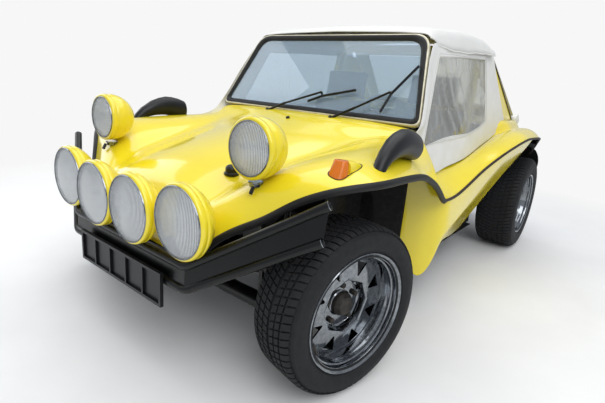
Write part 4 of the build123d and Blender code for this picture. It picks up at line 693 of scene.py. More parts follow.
def mirror_glass():
    """Silvered mirror glass: flat and clean, a little darker than its surroundings."""
    layers = (("Normal", CLOUDS, 200, {"Detail": 1.0}, 0.4, 0.2),)
    return layered(
        "silvered_mirror_glass", layers, Base_Color=linear("#D5DADF"), Metallic=1.0, Roughness=0.02
    )


def sewing_thread():
    """Twisted polyester thread: white gone grey, matt, with its twist as fine bands."""
    layers = (("Normal", BANDS, 1.2, {"bands_direction": "DIAGONAL"}, 0.2, 0.6),)
    return layered("polyester_thread", layers, Base_Color=linear("#B9B8B2"), Roughness=0.75)


def tinted_lens(name, base):
    """Coloured acrylic lens: glossy, with fine prisms 4 mm apart inside."""
    layers = (("Normal", BANDS, 4, {"bands_direction": "Z"}, 0.6, 0.5),)
    return layered(name, layers, Base_Color=base, Roughness=0.08, IOR=1.49, Transmission_Weight=0.35)


def studio_floor():
    """Pale matt floor that keeps the car's shadow and turns plain white further out."""
    layers = (("Base Color", CLOUDS, 600, {}, linear("#E9E9E8"), linear("#F1F1F0")),)
    material = layered("studio_floor_matt", layers, Roughness=0.85)
    tree = material.node_tree
    spot = add_node(tree, "ShaderNodeTexCoord").outputs["Object"]
    away = add_node(tree, "ShaderNodeVectorMath", {"operation": "LENGTH"}, {0: spot}).outputs["Value"]
    span = {"From Min": FLOOR_FADE[0], "From Max": FLOOR_FADE[1], "To Min": 0.0, "To Max": 1.0}
    ring = add_node(tree, "ShaderNodeMapRange", span, {"Value": away}).outputs["Result"]
    seen = add_node(tree, "ShaderNodeLightPath").outputs["Is Camera Ray"]
    share = add_node(tree, "ShaderNodeMath", {"operation": "MULTIPLY"}, {0: ring, 1: seen})
    white = add_node(tree, "ShaderNodeEmission", {"Color": BACKDROP, "Strength": 1.0})
    parts = {0: share.outputs[0], 1: tree.nodes["Principled BSDF"].outputs[0], 2: white.outputs[0]}
    mix = add_node(tree, "ShaderNodeMixShader", {}, parts)
    tree.links.new(mix.outputs[0], tree.nodes["Material Output"].inputs["Surface"])
    return material


FINISHES = {}


def finish(name):
    """A finish by name, made the first time it is asked for."""
    makers = {
        "gelcoat": gelcoat,
        "cloth": coated_cloth,
        "clear": clear_vinyl,
        "tyre": tyre_rubber,
        "rubber": moulded_rubber,
        "piping": lambda: moulded_rubber("piping_vinyl_brown", "#2B2019"),
        "black_steel": painted_steel,
        # Dull near-black for the tub and the floor pan, and as painted shade for the lining under the body
        "dull_black": lambda: painted_steel("dull_black_and_painted_shade", "#050505", 0.8),
        "chrome": chromed_steel,
        "trim": pale_metal,
        "alloy": cast_alloy,
        "iron": dark_iron,
        "steel": plain_steel,
        "plastic": moulded_plastic,
        "seat": seat_vinyl,
        "glass": sheet_glass,
        "lens": fluted_glass,
        "reflector": reflector,
        "mirror": mirror_glass,
        "thread": sewing_thread,
        "amber": lambda: tinted_lens("acrylic_amber", tuple(colours().amber)),
        "red": lambda: tinted_lens("acrylic_red", linear("#B01515")),
    }
    if name not in FINISHES:
        FINISHES[name] = makers[name]()
    return FINISHES[name]


# Body


def outline(row):
    """Outer points of a body station from the middle to the lip, in millimetres."""
    _, c, ty, tz, vy, vz, ky, kz, ly, lz = row
    step = ((ty + vy) / 2, (tz + vz) / 2)
    return crowned(c, ty, tz, 6) + [step] + arc((vy, vz), (ky, kz), (ly, lz), 9)


# Column of the cockpit rim in an outline, and how far inside the skin its lining of painted shade lies
RIM_COLUMN = 5
LINING_GAP, LINING_WALL = 0.002, 0.001


def both_halves(line):
    """A line from the middle of the car to its left side, led on from the right side."""
    return [Vector((p.x, -p.y, p.z)) for p in reversed(line[1:])] + line


class BUGGY_OT_body_shell(bpy.types.Operator):
    """Moulded body from the nose to the rear deck, as one smooth skin with a near-black lining under it
    that is painted shade.
    """

    bl_idname = "buggy.body_shell"
    bl_label = "Body shell"

    def execute(self, context):
        stations = even(BODY_STATIONS, 45)
        rows = [both_halves([place(row[0], y, z) for y, z in outline(row)]) for row in stations]
        middle = len(rows[0]) // 2
        between = [(a[0] + b[0]) / 2 for a, b in zip(stations, stations[1:])]
        open_rows = [i for i, x in enumerate(between) if DECK_X < x < COWL_X]
        inside = range(middle - RIM_COLUMN, middle + RIM_COLUMN)
        opening = [(i, j) for i in open_rows for j in inside]
        # The lining is a near-black sheet just inside the skin: painted shade under the body, where the
        # skin's own inside would show yellow
        lining = subdivided(skin(rows, opening), 1)
        modify(lining, "DISPLACE", strength=-(sizes().skin + LINING_GAP), mid_level=0)
        modify(lining, "SOLIDIFY", thickness=LINING_WALL, offset=-1)
        dress(smooth(lining, 50), "shell_painted_shade_lining", "chassis", "dull_black")
        shell = subdivided(skin(rows, opening), 2)
        modify(shell, "SOLIDIFY", thickness=sizes().skin, offset=-1, use_even_offset=True)
        smooth(shell, 50)
        dress(shell, "shell_skin", "chassis", "gelcoat", ["body_shell"])
        return {"FINISHED"}


def lip_line(first, last):
    """Points along the body lip, 40 mm apart, between two distances from the front axle."""
    rows = even(BODY_STATIONS, 40)
    return [place(row[0], row[8], row[9]) for row in rows if last <= row[0] <= first]


class BUGGY_OT_lip_rubber(bpy.types.Operator):
    """Rubber on the fender lips and the piping between them."""

    bl_idname = "buggy.lip_rubber"
    bl_label = "Lip rubber"

    def execute(self, context):
        size = sizes()
        for name, first, last, radius, kind, slot in (
            ("front_lip_rubber", 392, -660, size.lip_radius, "rubber", "tyre"),
            ("side_piping", -640, -2400, size.piping_radius, "piping", "black_plastic"),
        ):
            dress_pair(tube(lip_line(first, last), radius), name, kind)
        return {"FINISHED"}


# Guard behind a rear wheel in millimetres, whose first three rows run up inside the fender as a black liner
# of painted shade: x, then y and z of its inner and outer edge, going down
GUARD_ROWS = (
    # These first three rows run up inside the fender as a black liner: painted shade where the fender's
    # inside lies in shadow
    (-2225, 604, 748, 754, 716),
    (-2285, 600, 748, 740, 694),
    (-2345, 594, 745, 724, 668),
    (-2396, 588, 735, 730, 668),
    (-2420, 594, 668, 752, 628),
    (-2438, 604, 610, 762, 588),
    (-2446, 612, 560, 764, 540),
    (-2440, 620, 520, 752, 500),
)
# How far a guard's outer edge bends forward in millimetres, its steps across, and its wall
GUARD_BEND, GUARD_STEPS, GUARD_WALL = 26, 8, 0.004


class BUGGY_OT_rear_guards(bpy.types.Operator):
    """Black splash guards that hang from the rear fenders behind the wheels, with a black liner inside each
    fender as painted shade.
    """

    bl_idname = "buggy.rear_guards"
    bl_label = "Rear splash guards"

    def execute(self, context):
        shares = [i / GUARD_STEPS for i in range(GUARD_STEPS + 1)]
        rows = []
        for x, y0, z0, y1, z1 in GUARD_ROWS:
            wide, high = y1 - y0, z1 - z0
            rows.append([place(x + GUARD_BEND * s * s, y0 + wide * s, z0 + high * s) for s in shares])
        guard = subdivided(skin(rows), 2)
        modify(guard, "SOLIDIFY", thickness=GUARD_WALL, offset=0)
        dress_pair(smooth(guard, 50), "splash_guards_and_shade_liners", "rubber")
        return {"FINISHED"}


# Surfaces of cloth and glass


def route(points, count):
    """Points at even steps along a smooth line through others."""
    points = [Vector(p) for p in points]
    ends = [2 * points[0] - points[1], *points, 2 * points[-1] - points[-2]]
    dense = []
    for a, b, c, d in zip(ends, ends[1:], ends[2:], ends[3:]):
        for i in range(16):
            t = i / 16
            square, cube = 2 * a - 5 * b + 4 * c - d, 3 * b - a - 3 * c + d
            dense.append((2 * b + (c - a) * t + square * t**2 + cube * t**3) / 2)
    dense.append(points[-1])
    run = [0]
    for a, b in zip(dense, dense[1:]):
        run.append(run[-1] + (b - a).length)
    line, k = [], 0
    for i in range(count):
        goal = run[-1] * i / (count - 1)
        while k < len(dense) - 2 and run[k + 1] < goal:
            k += 1
        share = (goal - run[k]) / max(1e-9, run[k + 1] - run[k])
        line.append(dense[k].lerp(dense[k + 1], share))
    return line


def patch(bottom, top, left, right):
    """Rows of points between four lines, each with its shares across and up.

    Bottom and top run the same way, as left and right do.
    """
    rows = []
    for j, (a, b) in enumerate(zip(left, right)):
        v = j / (len(left) - 1)
        row = []
        for i, (c, d) in enumerate(zip(bottom, top)):
            u = i / (len(bottom) - 1)
            foot, head = bottom[0] * (1 - u) + bottom[-1] * u, top[0] * (1 - u) + top[-1] * u
            corners = foot * (1 - v) + head * v
            row.append((c * (1 - v) + d * v + a * (1 - u) + b * u - corners, u, v))
        rows.append(row)
    return rows


def flat(foot, head, across):
    """A plane through two points in millimetres: origin, direction across, direction up, normal."""
    origin = place(*foot)
    rise = (place(*head) - origin).normalized()
    across = Vector(across)
    return origin, across, rise, across.cross(rise)


def on(plane, across, up, lift=0.0):
    """A point on a plane, from millimetres across, up and along its normal."""
    origin, a, b, normal = plane
    return origin + (a * across + b * up + normal * lift) / 1000


def closed_loop(sides, counts):
    """One closed line of points from the sides of an outline, each with its own count of steps."""
    line = []
    for side, count in zip(sides, counts):
        line += route(side, count + 1)[:-1]
    return line


def ring_rows(inner, outer, shares, shape):
    """Rows of points from an inner to an outer closed line, each laid in space by a shape."""
    rows = []
    for share in shares:
        row = [shape(a.lerp(b, share), share) for a, b in zip(inner, outer)]
        rows.append(row + [row[0]])
    return rows


def wrinkle(x, y, fade):
    """Height of gathers in a loose clear sheet, in millimetres, at a place in millimetres.

    Slanting folds, about 130 and 80 mm apart along x, wander and come and go over longer waves.
    """
    drift = 60 * sin(x / 170 + 1.3) + 35 * sin(y / 90 + x / 260)
    long = sin((x + 0.55 * y + drift) / 21) + 0.6 * sin((x + 0.8 * y - drift) / 12.5 + 2.1)
    wide = sin((x - 0.35 * y) / 75 + 0.8) * sin(y / 130 + 0.4)
    return fade * (2.8 * long * (0.55 + 0.45 * sin(x / 140 + y / 210)) + 9.0 * wide)


# Thickness of a clear sheet
CLEAR_WALL = 0.0008


def clear_window(sides, counts, plane, lift, looseness):
    """A gathered clear sheet inside four sides drawn on a plane, and its area."""
    foot, rear, head, front = (route(side, count) for side, count in zip(sides, counts))
    rows = []
    for row in patch(foot, head[::-1], front[::-1], rear):
        line = []
        for point, u, v in row:
            fade = looseness * min(1, 6 * u, 6 * (1 - u), 8 * v, 8 * (1 - v))
            line.append(on(plane, point.x, point.y, lift + wrinkle(point.x, point.y, fade)))
        rows.append(line)
    sheet = skin(rows)
    area = thickened(sheet, CLEAR_WALL)
    return smooth(sheet, 60), area


# Soft top

# Roof stations in millimetres: x from the front axle, crown, then y and z of shoulder and edge
ROOF_STATIONS = (
    (-722, 1258, 463, 1243, 508, 1224),
    (-738, 1272, 465, 1256, 512, 1224),
    (-820, 1296, 474, 1275, 517, 1200),
    (-1110, 1329, 480, 1309, 519, 1207),
    (-1430, 1333, 484, 1318, 523, 1232),
    (-1640, 1308, 492, 1286, 533, 1248),
)
CURTAIN = flat((0, 612, 660), (0, 508, 1225), (-1, 0, 0))
# Sides of the left curtain and its window, as distance behind the front axle and rise in its plane
CURTAIN_SIDES = (
    ((300, 110), (450, 48), (692, -17), (876, -2), (1142, 18), (1385, 62), (1700, 120), (1960, 199)),
    ((1960, 199), (1850, 350), (1760, 480), (1690, 600)),
    ((1690, 600), (1430, 588), (1110, 562), (781, 556)),
    ((781, 556), (712, 540), (622, 400), (553, 260), (480, 165), (300, 110)),
)
WINDOW_SIDES = (
    ((610, 110), (880, 134), (1197, 144), (1401, 176), (1516, 206)),
    ((1516, 206), (1525, 300), (1527, 407), (1524, 556)),
    ((1524, 556), (1147, 533), (810, 506)),
    ((810, 506), (740, 372), (704, 295), (610, 110)),
)
# Steps along the sides of the curtain, and of its window's clear sheet
CURTAIN_STEPS = (44, 16, 36, 22)
WINDOW_POINTS = (60, 50, 60, 50)
# Side of the windscreen in the curtain's plane: x, rise and slope; how far it stands off at its foot,
# and how much less further up
FRAME_SIDE = (525, 198, 0.492)
FRAME_LIFT = (33, 0.061)
# Where the cloth over that side comes down again: the end and the length of the slope behind it, and
# the start and the length of the slope above the sill
FRAME_FADE = (130, 120)
SILL_FADE = (120, 80)
# Binding round the window: distance outside the clear part and height over the curtain, in millimetres
BINDING = ((-6, 3), (-5, 5.2), (4, 6), (15, 5.2), (18, 3), (15, 1.5), (-5, 1.5), (-6, 3))
SEAM_INSETS, SEAM_LIFT, SEAM_RADIUS = (-1, 11), 6.2, 0.0007
# Rear panel and its window, with corners across and up in the panel's plane
REAR_SCREEN = flat((-2200, 0, 892), (-1640, 0, 1299), (0, -1, 0))
REAR_CORNERS = ((-575, 0), (575, 0), (488, 692), (-488, 692))
REAR_WINDOW = ((-470, 105), (470, 105), (385, 590), (-385, 590))
REAR_STEPS = (48, 28, 48, 28)
REAR_WINDOW_POINTS = (64, 40, 64, 40)
# Rolled hem: x and z of its middle, drop towards its ends, half width, radius, how far its ends bunch,
# from which share of the half width, and the share in which it closes; then its steps along and round
HEM_X, HEM_Z, HEM_DROP, HEM_HALF, HEM_R, HEM_END = -2224, 902, 40, 610, 31, 15
HEM_BUNCH, HEM_TIP = 0.88, 1 / 40
HEM_STEPS, HEM_SIDES = 80, 28


class BUGGY_OT_soft_top(bpy.types.Operator):
    """Roof sheet with its rolled drip edge."""

    bl_idname = "buggy.soft_top"
    bl_label = "Soft top"

    def execute(self, context):
        rows = []
        for row in even(ROOF_STATIONS, 30):
            x, crown, shoulder_y, shoulder_z, edge_y, edge_z = row
            half = crowned(crown, shoulder_y, shoulder_z, 12)
            reach, drop = edge_y - shoulder_y, shoulder_z - edge_z
            for out, down in ((0.45, 0.14), (0.8, 0.45), (1, 1)):
                half.append((shoulder_y + out * reach, shoulder_z - down * drop))
            line = []
            for y, z in half:
                sag = 2.2 * sin(x / 95) * sin(y / 120 + 0.5)
                ripple = 1.4 * sin((x + 0.6 * y) / 33) * (y / 500) ** 4
                line.append(place(x, y, z + sag + ripple))
            rows.append(both_halves(line))
        edge = [row[-1] for row in rows]
        roof = smooth(skin(rows), 60)
        area = thickened(roof, sizes().vinyl, -1)
        dress(roof, "roof_sheet", "chassis", "cloth", ["soft_top_roof"])
        welt = tube([p + Vector((0, 0.0005, -0.001)) for p in edge], 0.0032)
        both = dress_pair(welt, "roof_welt", "cloth")
        return {"FINISHED"}


def curtain_line(inner, outer, inset, lift):
    """A closed line on the curtain at a distance outside its window, in millimetres."""
    line = []
    for a, b in zip(inner, outer):
        spot = a + (b - a).normalized() * inset
        line.append(on(CURTAIN, spot.x, spot.y, lift))
    return line + [line[0]]


class BUGGY_OT_curtains(bpy.types.Operator):
    """Side curtains that lie over the body side, with gathered clear windows."""

    bl_idname = "buggy.curtains"
    bl_label = "Side curtains"

    def execute(self, context):
        outer = closed_loop(CURTAIN_SIDES, CURTAIN_STEPS)
        inner = closed_loop(WINDOW_SIDES, CURTAIN_STEPS)

        def wavy(point, share):
            """A loose spot of the cloth; its front edge lies over the side of the windscreen."""
            x, y = point
            lift = 3 + sin(pi * share) * (2.2 * sin(x / 57 + y / 80) + 1.2 * sin((x - y) / 23))
            side, foot, slope = FRAME_SIDE
            over = FRAME_LIFT[0] - (y - foot) * FRAME_LIFT[1]
            near = min(1, max(0, (side + (y - foot) * slope + FRAME_FADE[0] - x) / FRAME_FADE[1]))
            near *= min(1, max(0, (y - SILL_FADE[0]) / SILL_FADE[1]))
            return on(CURTAIN, x, y, lift + over * near * near * (3 - 2 * near))

        shares = (0, 0.04, 0.1, 0.2, 0.32, 0.45, 0.58, 0.7, 0.82, 0.92, 1)
        sheet = merged(skin(ring_rows(inner, outer, shares, wavy)))
        settings = {"wrap_method": "NEAREST_SURFACEPOINT", "wrap_mode": "OUTSIDE", "offset": 0.0025}
        modify(sheet, "SHRINKWRAP", target=bpy.data.objects["shell_skin"], **settings)
        area = thickened(sheet, sizes().vinyl)
        smooth(sheet, 50)
        clear, clear_area = clear_window(WINDOW_SIDES, WINDOW_POINTS, CURTAIN, 1.5, 1)
        strip = [curtain_line(inner, outer, inset, lift) for inset, lift in BINDING]
        binding = smooth(merged(skin(strip)), 50)
        lines = [curtain_line(inner, outer, inset, SEAM_LIFT)[:-1] for inset in SEAM_INSETS]
        seams = joined([tube(line, SEAM_RADIUS, True) for line in lines])
        dress_pair(binding, "window_binding", "cloth")
        dress_pair(seams, "window_seams", "thread")
        for name, obj, kind, slot, node in (
            ("curtain", sheet, "cloth", "white_vinyl", "side_curtains"),
            ("window", clear, "clear", "clear_vinyl", "side_windows"),
        ):
            twin = mirrored(obj)
            for side, piece in (("left", obj), ("right", twin)):
                dress(piece, f"{name}_{side}", "chassis", kind, [node])
        return {"FINISHED"}


class BUGGY_OT_rear_screen(bpy.types.Operator):
    """Rear panel of the soft top with its clear window and the rolled hem at its foot."""

    bl_idname = "buggy.rear_screen"
    bl_label = "Rear screen"

    def execute(self, context):
        frame_sides, window_sides = (
            list(zip(corners, corners[1:] + corners[:1])) for corners in (REAR_CORNERS, REAR_WINDOW)
        )

        def wavy(point, share):
            """A loose spot of the cloth."""
            x, y = point
            lift = 2.5 * sin(x / 60 + 1) * sin(y / 85) + 1.2 * sin((x + y) / 24)
            return on(REAR_SCREEN, x, y, sin(pi * share) * lift)

        shares = (0, 0.06, 0.15, 0.3, 0.45, 0.6, 0.75, 0.88, 1)
        inner, outer = closed_loop(window_sides, REAR_STEPS), closed_loop(frame_sides, REAR_STEPS)
        sheet = merged(skin(ring_rows(inner, outer, shares, wavy)))
        area = thickened(sheet, sizes().vinyl)
        dress(smooth(sheet, 50), "rear_sheet", "chassis", "cloth", ["rear_panel"])
        clear, clear_area = clear_window(window_sides, REAR_WINDOW_POINTS, REAR_SCREEN, 0, 0.7)
        dress(clear, "rear_clear", "chassis", "clear", ["rear_window"])
        rows = []
        for i in range(HEM_STEPS + 1):
            turn = 2 * i / HEM_STEPS - 1
            bunch = HEM_END * max(0, abs(turn) - HEM_BUNCH) / (1 - HEM_BUNCH)
            gap = 1 - min(1, (1 - abs(turn)) / HEM_TIP)
            x, z = HEM_X - bunch, HEM_Z - HEM_DROP * turn**2
            row = []
            for k in range(HEM_SIDES + 1):
                angle = 2 * pi * k / HEM_SIDES
                fold = 1 + 0.05 * sin(3 * angle + 9 * turn) + 0.03 * sin(60 * turn + 2 * angle)
                radius = (HEM_R + bunch) * fold * sqrt(max(0.0, 1 - gap**2))
                row.append(place(x + radius * cos(angle), HEM_HALF * turn, z + radius * sin(angle)))
            rows.append(row)
        hem = dress(smooth(merged(skin(rows)), 60), "hem_roll", "chassis", "cloth")
        return {"FINISHED"}


# Side panel stations in millimetres: x from the front axle, then y and z of top, fold and foot
PANEL_STATIONS = (
    (-606, 556, 690, 556, 410, 556, 230),
    (-640, 624, 640, 624, 370, 622, 176),
    (-668, 656, 600, 656, 340, 652, 150),
    (-705, 692, 560, 690, 352, 682, 215),
    (-738, 709, 541, 706, 372, 696, 322),
    (-770, 709, 543, 712, 382, 695, 330),
    (-1130, 729, 638, 708, 472, 628, 262),
    (-1400, 779, 733, 704, 522, 600, 250),
    (-1700, 805, 780, 718, 580, 600, 290),
    (-1780, 805, 780, 722, 600, 600, 300),
)
# The panel ends in front of the rear wheel along a line through two points, as x and z
PANEL_REAR_CUT = ((-1330, 270), (-1735, 720))


class BUGGY_OT_side_panels(bpy.types.Operator):
    """Lower side panels with the flare that turns in behind the front wheel."""

    bl_idname = "buggy.side_panels"
    bl_label = "Side panels"

    def execute(self, context):
        rows = []
        for x, ty, tz, fy, fz, by, bz in even(PANEL_STATIONS, 28):
            top, fold, foot = Vector((ty, tz)), Vector((fy, fz)), Vector((by, bz))
            soft = fold * 0.7 + (top.lerp(fold, 0.9) + fold.lerp(foot, 0.15)) * 0.15
            line = [top.lerp(fold, s) for s in (0, 0.2, 0.4, 0.6, 0.8, 0.92)] + [soft]
            line += [fold.lerp(foot, s) for s in (0.12, 0.35, 0.6, 0.85, 1)]
            rows.append([place(x, p.x, p.y) for p in line])
        panel = skin(rows)
        (x0, z0), (x1, z1) = PANEL_REAR_CUT
        edit_all(panel)
        across = (z0 - z1, 0, x1 - x0)
        bpy.ops.mesh.bisect(plane_co=place(x0, 0, z0), plane_no=across, clear_outer=True, clear_inner=False)
        bpy.ops.object.mode_set(mode="OBJECT")
        merged(subdivided(panel, 2))
        modify(panel, "SOLIDIFY", thickness=sizes().skin, offset=-1)
        dress_pair(smooth(panel, 50), "side_skins", "gelcoat", ["side_panels"])
        return {"FINISHED"}


# Windscreen

SCREEN = flat((-525, 0, 855), (-719, 0, 1242), (0, 1, 0))
SCREEN_HEIGHT = 432.9
# Half widths and corner radii at the foot and at the head of the glass, in millimetres
SCREEN_HALVES = (603, 508)
SCREEN_RADII = (40, 75)
# Sections of trim and gasket: distance inside the outline and height over the glass
TRIM_SECTION = ((0, -19), (0, -1), (1.5, 1.2), (4, 2), (6.5, 2), (8, 0.5), (8, -19))
GASKET_SECTION = (
    (7.5, -16),
    (7.5, 2.5),
    (10, 5),
    (18, 5.5),
    (26, 2),
    (32, -5),
    (32, -8),
    (25, -8),
    (25, -14),
)


def rounded(corners, radii, steps=8):
    """A closed outline with its corners rounded."""
    line = []
    befores, afters = corners[-1:] + corners, corners[1:] + corners[:1]
    for before, corner, after, radius in zip(befores, corners, afters, radii):
        corner = Vector(corner)
        start = corner + (Vector(before) - corner).normalized() * radius
        end = corner + (Vector(after) - corner).normalized() * radius
        for i in range(steps + 1):
            t = i / steps
            line.append(start * (1 - t) ** 2 + corner * 2 * t * (1 - t) + end * t**2)
    return line


def screen_loop(inset, lift):
    """Points round the windscreen, drawn in by an inset and lifted off its plane."""
    low, high = SCREEN_HALVES
    corners = [
        (-low + inset, inset),
        (low - inset, inset),
        (high - inset, SCREEN_HEIGHT - inset),
        (inset - high, SCREEN_HEIGHT - inset),
    ]
    foot, head = (radius - inset / 2 for radius in SCREEN_RADII)
    line = rounded(corners, (foot, foot, head, head))
    row = [on(SCREEN, p.x, p.y, lift) for p in line]
    return row + [row[0]]


class BUGGY_OT_windscreen(bpy.types.Operator):
    """Cream metal trim and black gasket round the windscreen."""

    bl_idname = "buggy.windscreen"
    bl_label = "Windscreen"

    def execute(self, context):
        for name, profile, kind, slot, nodes in (
            ("screen_trim", TRIM_SECTION, "trim", "screen_frame", ["windscreen_frame"]),
            ("screen_gasket", GASKET_SECTION, "rubber", "tyre", []),
        ):
            rows = [screen_loop(inset, lift) for inset, lift in profile]
            ring = smooth(merged(skin(rows + rows[:1])), 40)
            dress(ring, name, "chassis", kind, nodes)
        return {"FINISHED"}


# Wheels


# Wheels: end, tyre radius and width, rim width, and how deep the rim's face lies
FRONT_RADIUS, REAR_RADIUS = 0.291, 0.314
WHEEL_SIZES = (
    ("front", FRONT_RADIUS, 0.205, 0.190, 0.062),
    ("rear", REAR_RADIUS, 0.246, 0.230, 0.095),
)
# Half the distance between the steering pins, how far a front wheel stands out from its pin, and half
# the rear track
PIN_Y, PIN_TO_WHEEL, REAR_WHEEL_Y = 0.5, 0.157, 0.675


def wheel_matrix(side, front):
    """Place of a wheel: its middle, with local Y out of the car."""
    turn = STEER_AT_REST if front else 0
    out = Vector((-side * sin(turn), side * cos(turn), 0))
    if front:
        centre = Vector((FRONT_AXLE, side * PIN_Y, FRONT_RADIUS)) + out * PIN_TO_WHEEL
    else:
        centre = Vector((REAR_AXLE, side * REAR_WHEEL_Y, REAR_RADIUS))
    return aim(centre, out)


# Ribs of the tread as share of the half width, from and to
TREAD_RIBS = ((-0.98, -0.66), (-0.58, -0.36), (-0.29, -0.07), (0.07, 0.29), (0.36, 0.58), (0.66, 0.98))
# How much narrower the tread is than the tyre on each side
SHOULDER = 0.016
# A block's share of its pitch, how far the grooves trail round the tyre for each metre outwards, and
# how many more blocks a rear tyre has
BLOCK_SHARE, TREAD_SLANT, REAR_PITCHES = 0.8, 0.35, 1.06


def tyre_mesh(radius, width, rim_width):
    """A tyre with blocks on its tread, its axle along Y."""
    depth = sizes().tread_depth
    crown = width / 2 - SHOULDER
    base = radius - depth

    def section(share):
        """Radius of the groove floor across the tread, which falls off at the shoulders."""
        drop = 0.0015 * share**2 + 0.010 * max(0, (abs(share) - 0.72) / 0.28) ** 2.2
        return base - drop

    # Edges of the ribs, and two more on each shoulder to round it
    edges = sorted({edge for rib in TREAD_RIBS for edge in rib} | {-0.82, 0.82, -0.91, 0.91})
    tread = [(section(s), s * crown) for s in edges]
    bead = rim_width / 2 - 0.0055
    half = width / 2
    # Side wall from the shoulder past the rim's edge to the bead: radius and distance from the middle
    side = [
        (radius - 0.024, half - 0.006),
        (radius - 0.040, half - 0.0015),
        (radius - 0.058, half),
        (0.222, half - 0.004),
        (0.216, half - 0.006),
        (0.213, half - 0.0045),
        (0.2085, bead + 0.002),
        (0.1915, bead),
    ]
    right = [(r, -y) for r, y in reversed(side)]
    loop = right + tread + side
    first = len(right)
    pitches = round(sizes().tread_pitches * (1 if radius == FRONT_RADIUS else REAR_PITCHES))
    rows = []
    for i in range(2 * pitches + 1):
        turn = 2 * pi * (i // 2 + (BLOCK_SHARE if i % 2 else 0)) / pitches
        row = []
        for r, y in loop:
            angle = turn + TREAD_SLANT * min(abs(y), crown) / radius
            row.append((r * cos(angle), y, r * sin(angle)))
        rows.append(row + [row[0]])
    obj = merged(skin(rows))
    blocks = set()
    for k, (a, b) in enumerate(zip(edges, edges[1:])):
        if any(low < (a + b) / 2 < high for low, high in TREAD_RIBS):
            blocks.add(first + k)
    columns = len(loop)
    pick_faces(obj, lambda index, middle: index % columns in blocks and index // columns % 2 == 0)
    bpy.ops.mesh.extrude_region_shrink_fatten(TRANSFORM_OT_shrink_fatten={"value": depth})
    bpy.ops.object.mode_set(mode="OBJECT")
    return smooth(merged(obj), 30)


# Slots of a rim: number, radius and half width at the inner and at the outer end; steps round a disc
SLOTS, SLOT_INNER, SLOT_OUTER = 8, (0.108, 0.003), (0.157, 0.027)
DISC_STEPS = 96


def octagon(radius, angle):
    """Distance from the middle to an octagon at an angle; its sides lie in and its corners stand out."""
    part = pi / SLOTS
    return radius / cos(part / 2) * cos(part) / cos(angle % (2 * part) - part)


def rim_mesh(rim_width, dish):
    """A pressed steel rim with eight slots, its axle along Y and its face outwards."""
    half = rim_width / 2
    face = half - dish
    # Barrel from its outer edge to the inner one and back behind: radius and distance from the middle
    section = [
        (0.2070, half - 0.001),
        (0.2045, half + 0.001),
        (0.2010, half - 0.001),
        (0.1965, half - 0.006),
        (0.1900, half - 0.009),
        (0.1880, half - 0.014),
        (0.1878, half - 0.024),
        (0.1835, half - 0.027),
        (0.1825, half - 0.034),
        (0.1790, half - 0.040),
        (0.1760, half - 0.050),
        (0.1735, face - 0.002),
        (0.1700, face - 0.010),
        (0.1670, -half + 0.050),
        (0.1850, -half + 0.036),
        (0.1860, -half + 0.004),
        (0.2040, -half),
        (0.2075, -half + 0.003),
        (0.1905, -half + 0.006),
        (0.1895, -half + 0.034),
        (0.1725, -half + 0.050),
        (0.1740, face - 0.012),
        (0.1790, face + 0.002),
        (0.1890, half - 0.036),
        (0.1905, half - 0.008),
        (0.2060, half - 0.005),
    ]
    barrel = smooth(turned(section, closed=True, steps=128), 28)
    # Rings of the disc: radius, height on the face, and how much of an octagon it is
    rings = (
        (0.1725, face - 0.012, 0.0),
        (0.1650, face - 0.006, 0.0),
        (0.1580, face - 0.004, 0.0),
        (0.1000, face + 0.001, 1.0),
        (0.0945, face - 0.001, 1.0),
        (0.0900, face - 0.010, 1.0),
        (0.0860, face - 0.026, 0.6),
        (0.0800, face - 0.030, 0.0),
        (0.0460, face - 0.030, 0.0),
        (0.0425, face - 0.027, 0.0),
        (0.0405, face - 0.030, 0.0),
        (0.0405, face - 0.034, 0.0),
        (0.0820, face - 0.0345, 0.0),
        (0.0890, face - 0.030, 0.6),
        (0.0935, face - 0.014, 1.0),
        (0.0990, face - 0.005, 1.0),
        (0.1575, face - 0.010, 0.0),
        (0.1640, face - 0.012, 0.0),
        (0.1710, face - 0.018, 0.0),
    )
    rows = []
    for i in range(DISC_STEPS + 1):
        angle = 2 * pi * i / DISC_STEPS + pi / SLOTS
        row = []
        for radius, along, share in rings:
            r = radius + share * (octagon(radius, angle) - radius)
            row.append((r * cos(angle), along, r * sin(angle)))
        rows.append(row + [row[0]])
    disc = merged(skin(rows))
    cutters = []
    for i in range(SLOTS):
        deselect()
        bpy.ops.mesh.primitive_cube_add(size=1)
        cutter = bpy.context.object
        turn = Matrix.Rotation(-2 * pi / SLOTS * (i + 0.5), 4, "Y")
        for vertex in cutter.data.vertices:
            x, y, z = vertex.co
            radius, half_width = SLOT_INNER if x < 0 else SLOT_OUTER
            vertex.co = turn @ Vector((radius, face + y * 0.08, copysign(half_width, z)))
        cutters.append(cutter)
    cutter = merged(joined(cutters))
    modify(disc, "BOOLEAN", operation="DIFFERENCE", solver="EXACT", object=cutter)
    remove(cutter)
    return joined([barrel, smooth(disc, 25)])


# Wheel nuts: number, radius of their circle, turn of the first, how far in from the face, and radius
# and height of one
NUTS, NUT_CIRCLE, NUT_TURN, NUT_DEPTH = 5, 0.0655, 0.3, 0.024
NUT_R, NUT_H = 0.0105, 0.014


def wheel_nuts(face):
    """Wheel nuts on the hub face, with their axis along Y."""
    nuts = []
    for i in range(NUTS):
        angle = 2 * pi * i / NUTS + NUT_TURN
        deselect()
        bpy.ops.mesh.primitive_cylinder_add(vertices=6, radius=NUT_R, depth=NUT_H, rotation=(pi / 2, 0, 0))
        nut = settle(bpy.context.object)
        edit_all(nut)
        bpy.ops.mesh.bevel(offset=0.0012, segments=2)
        bpy.ops.object.mode_set(mode="OBJECT")
        spot = (NUT_CIRCLE * cos(angle), face - NUT_DEPTH, NUT_CIRCLE * sin(angle))
        nuts.append(smooth(moved(nut, Matrix.Translation(spot))))
    return joined(nuts)


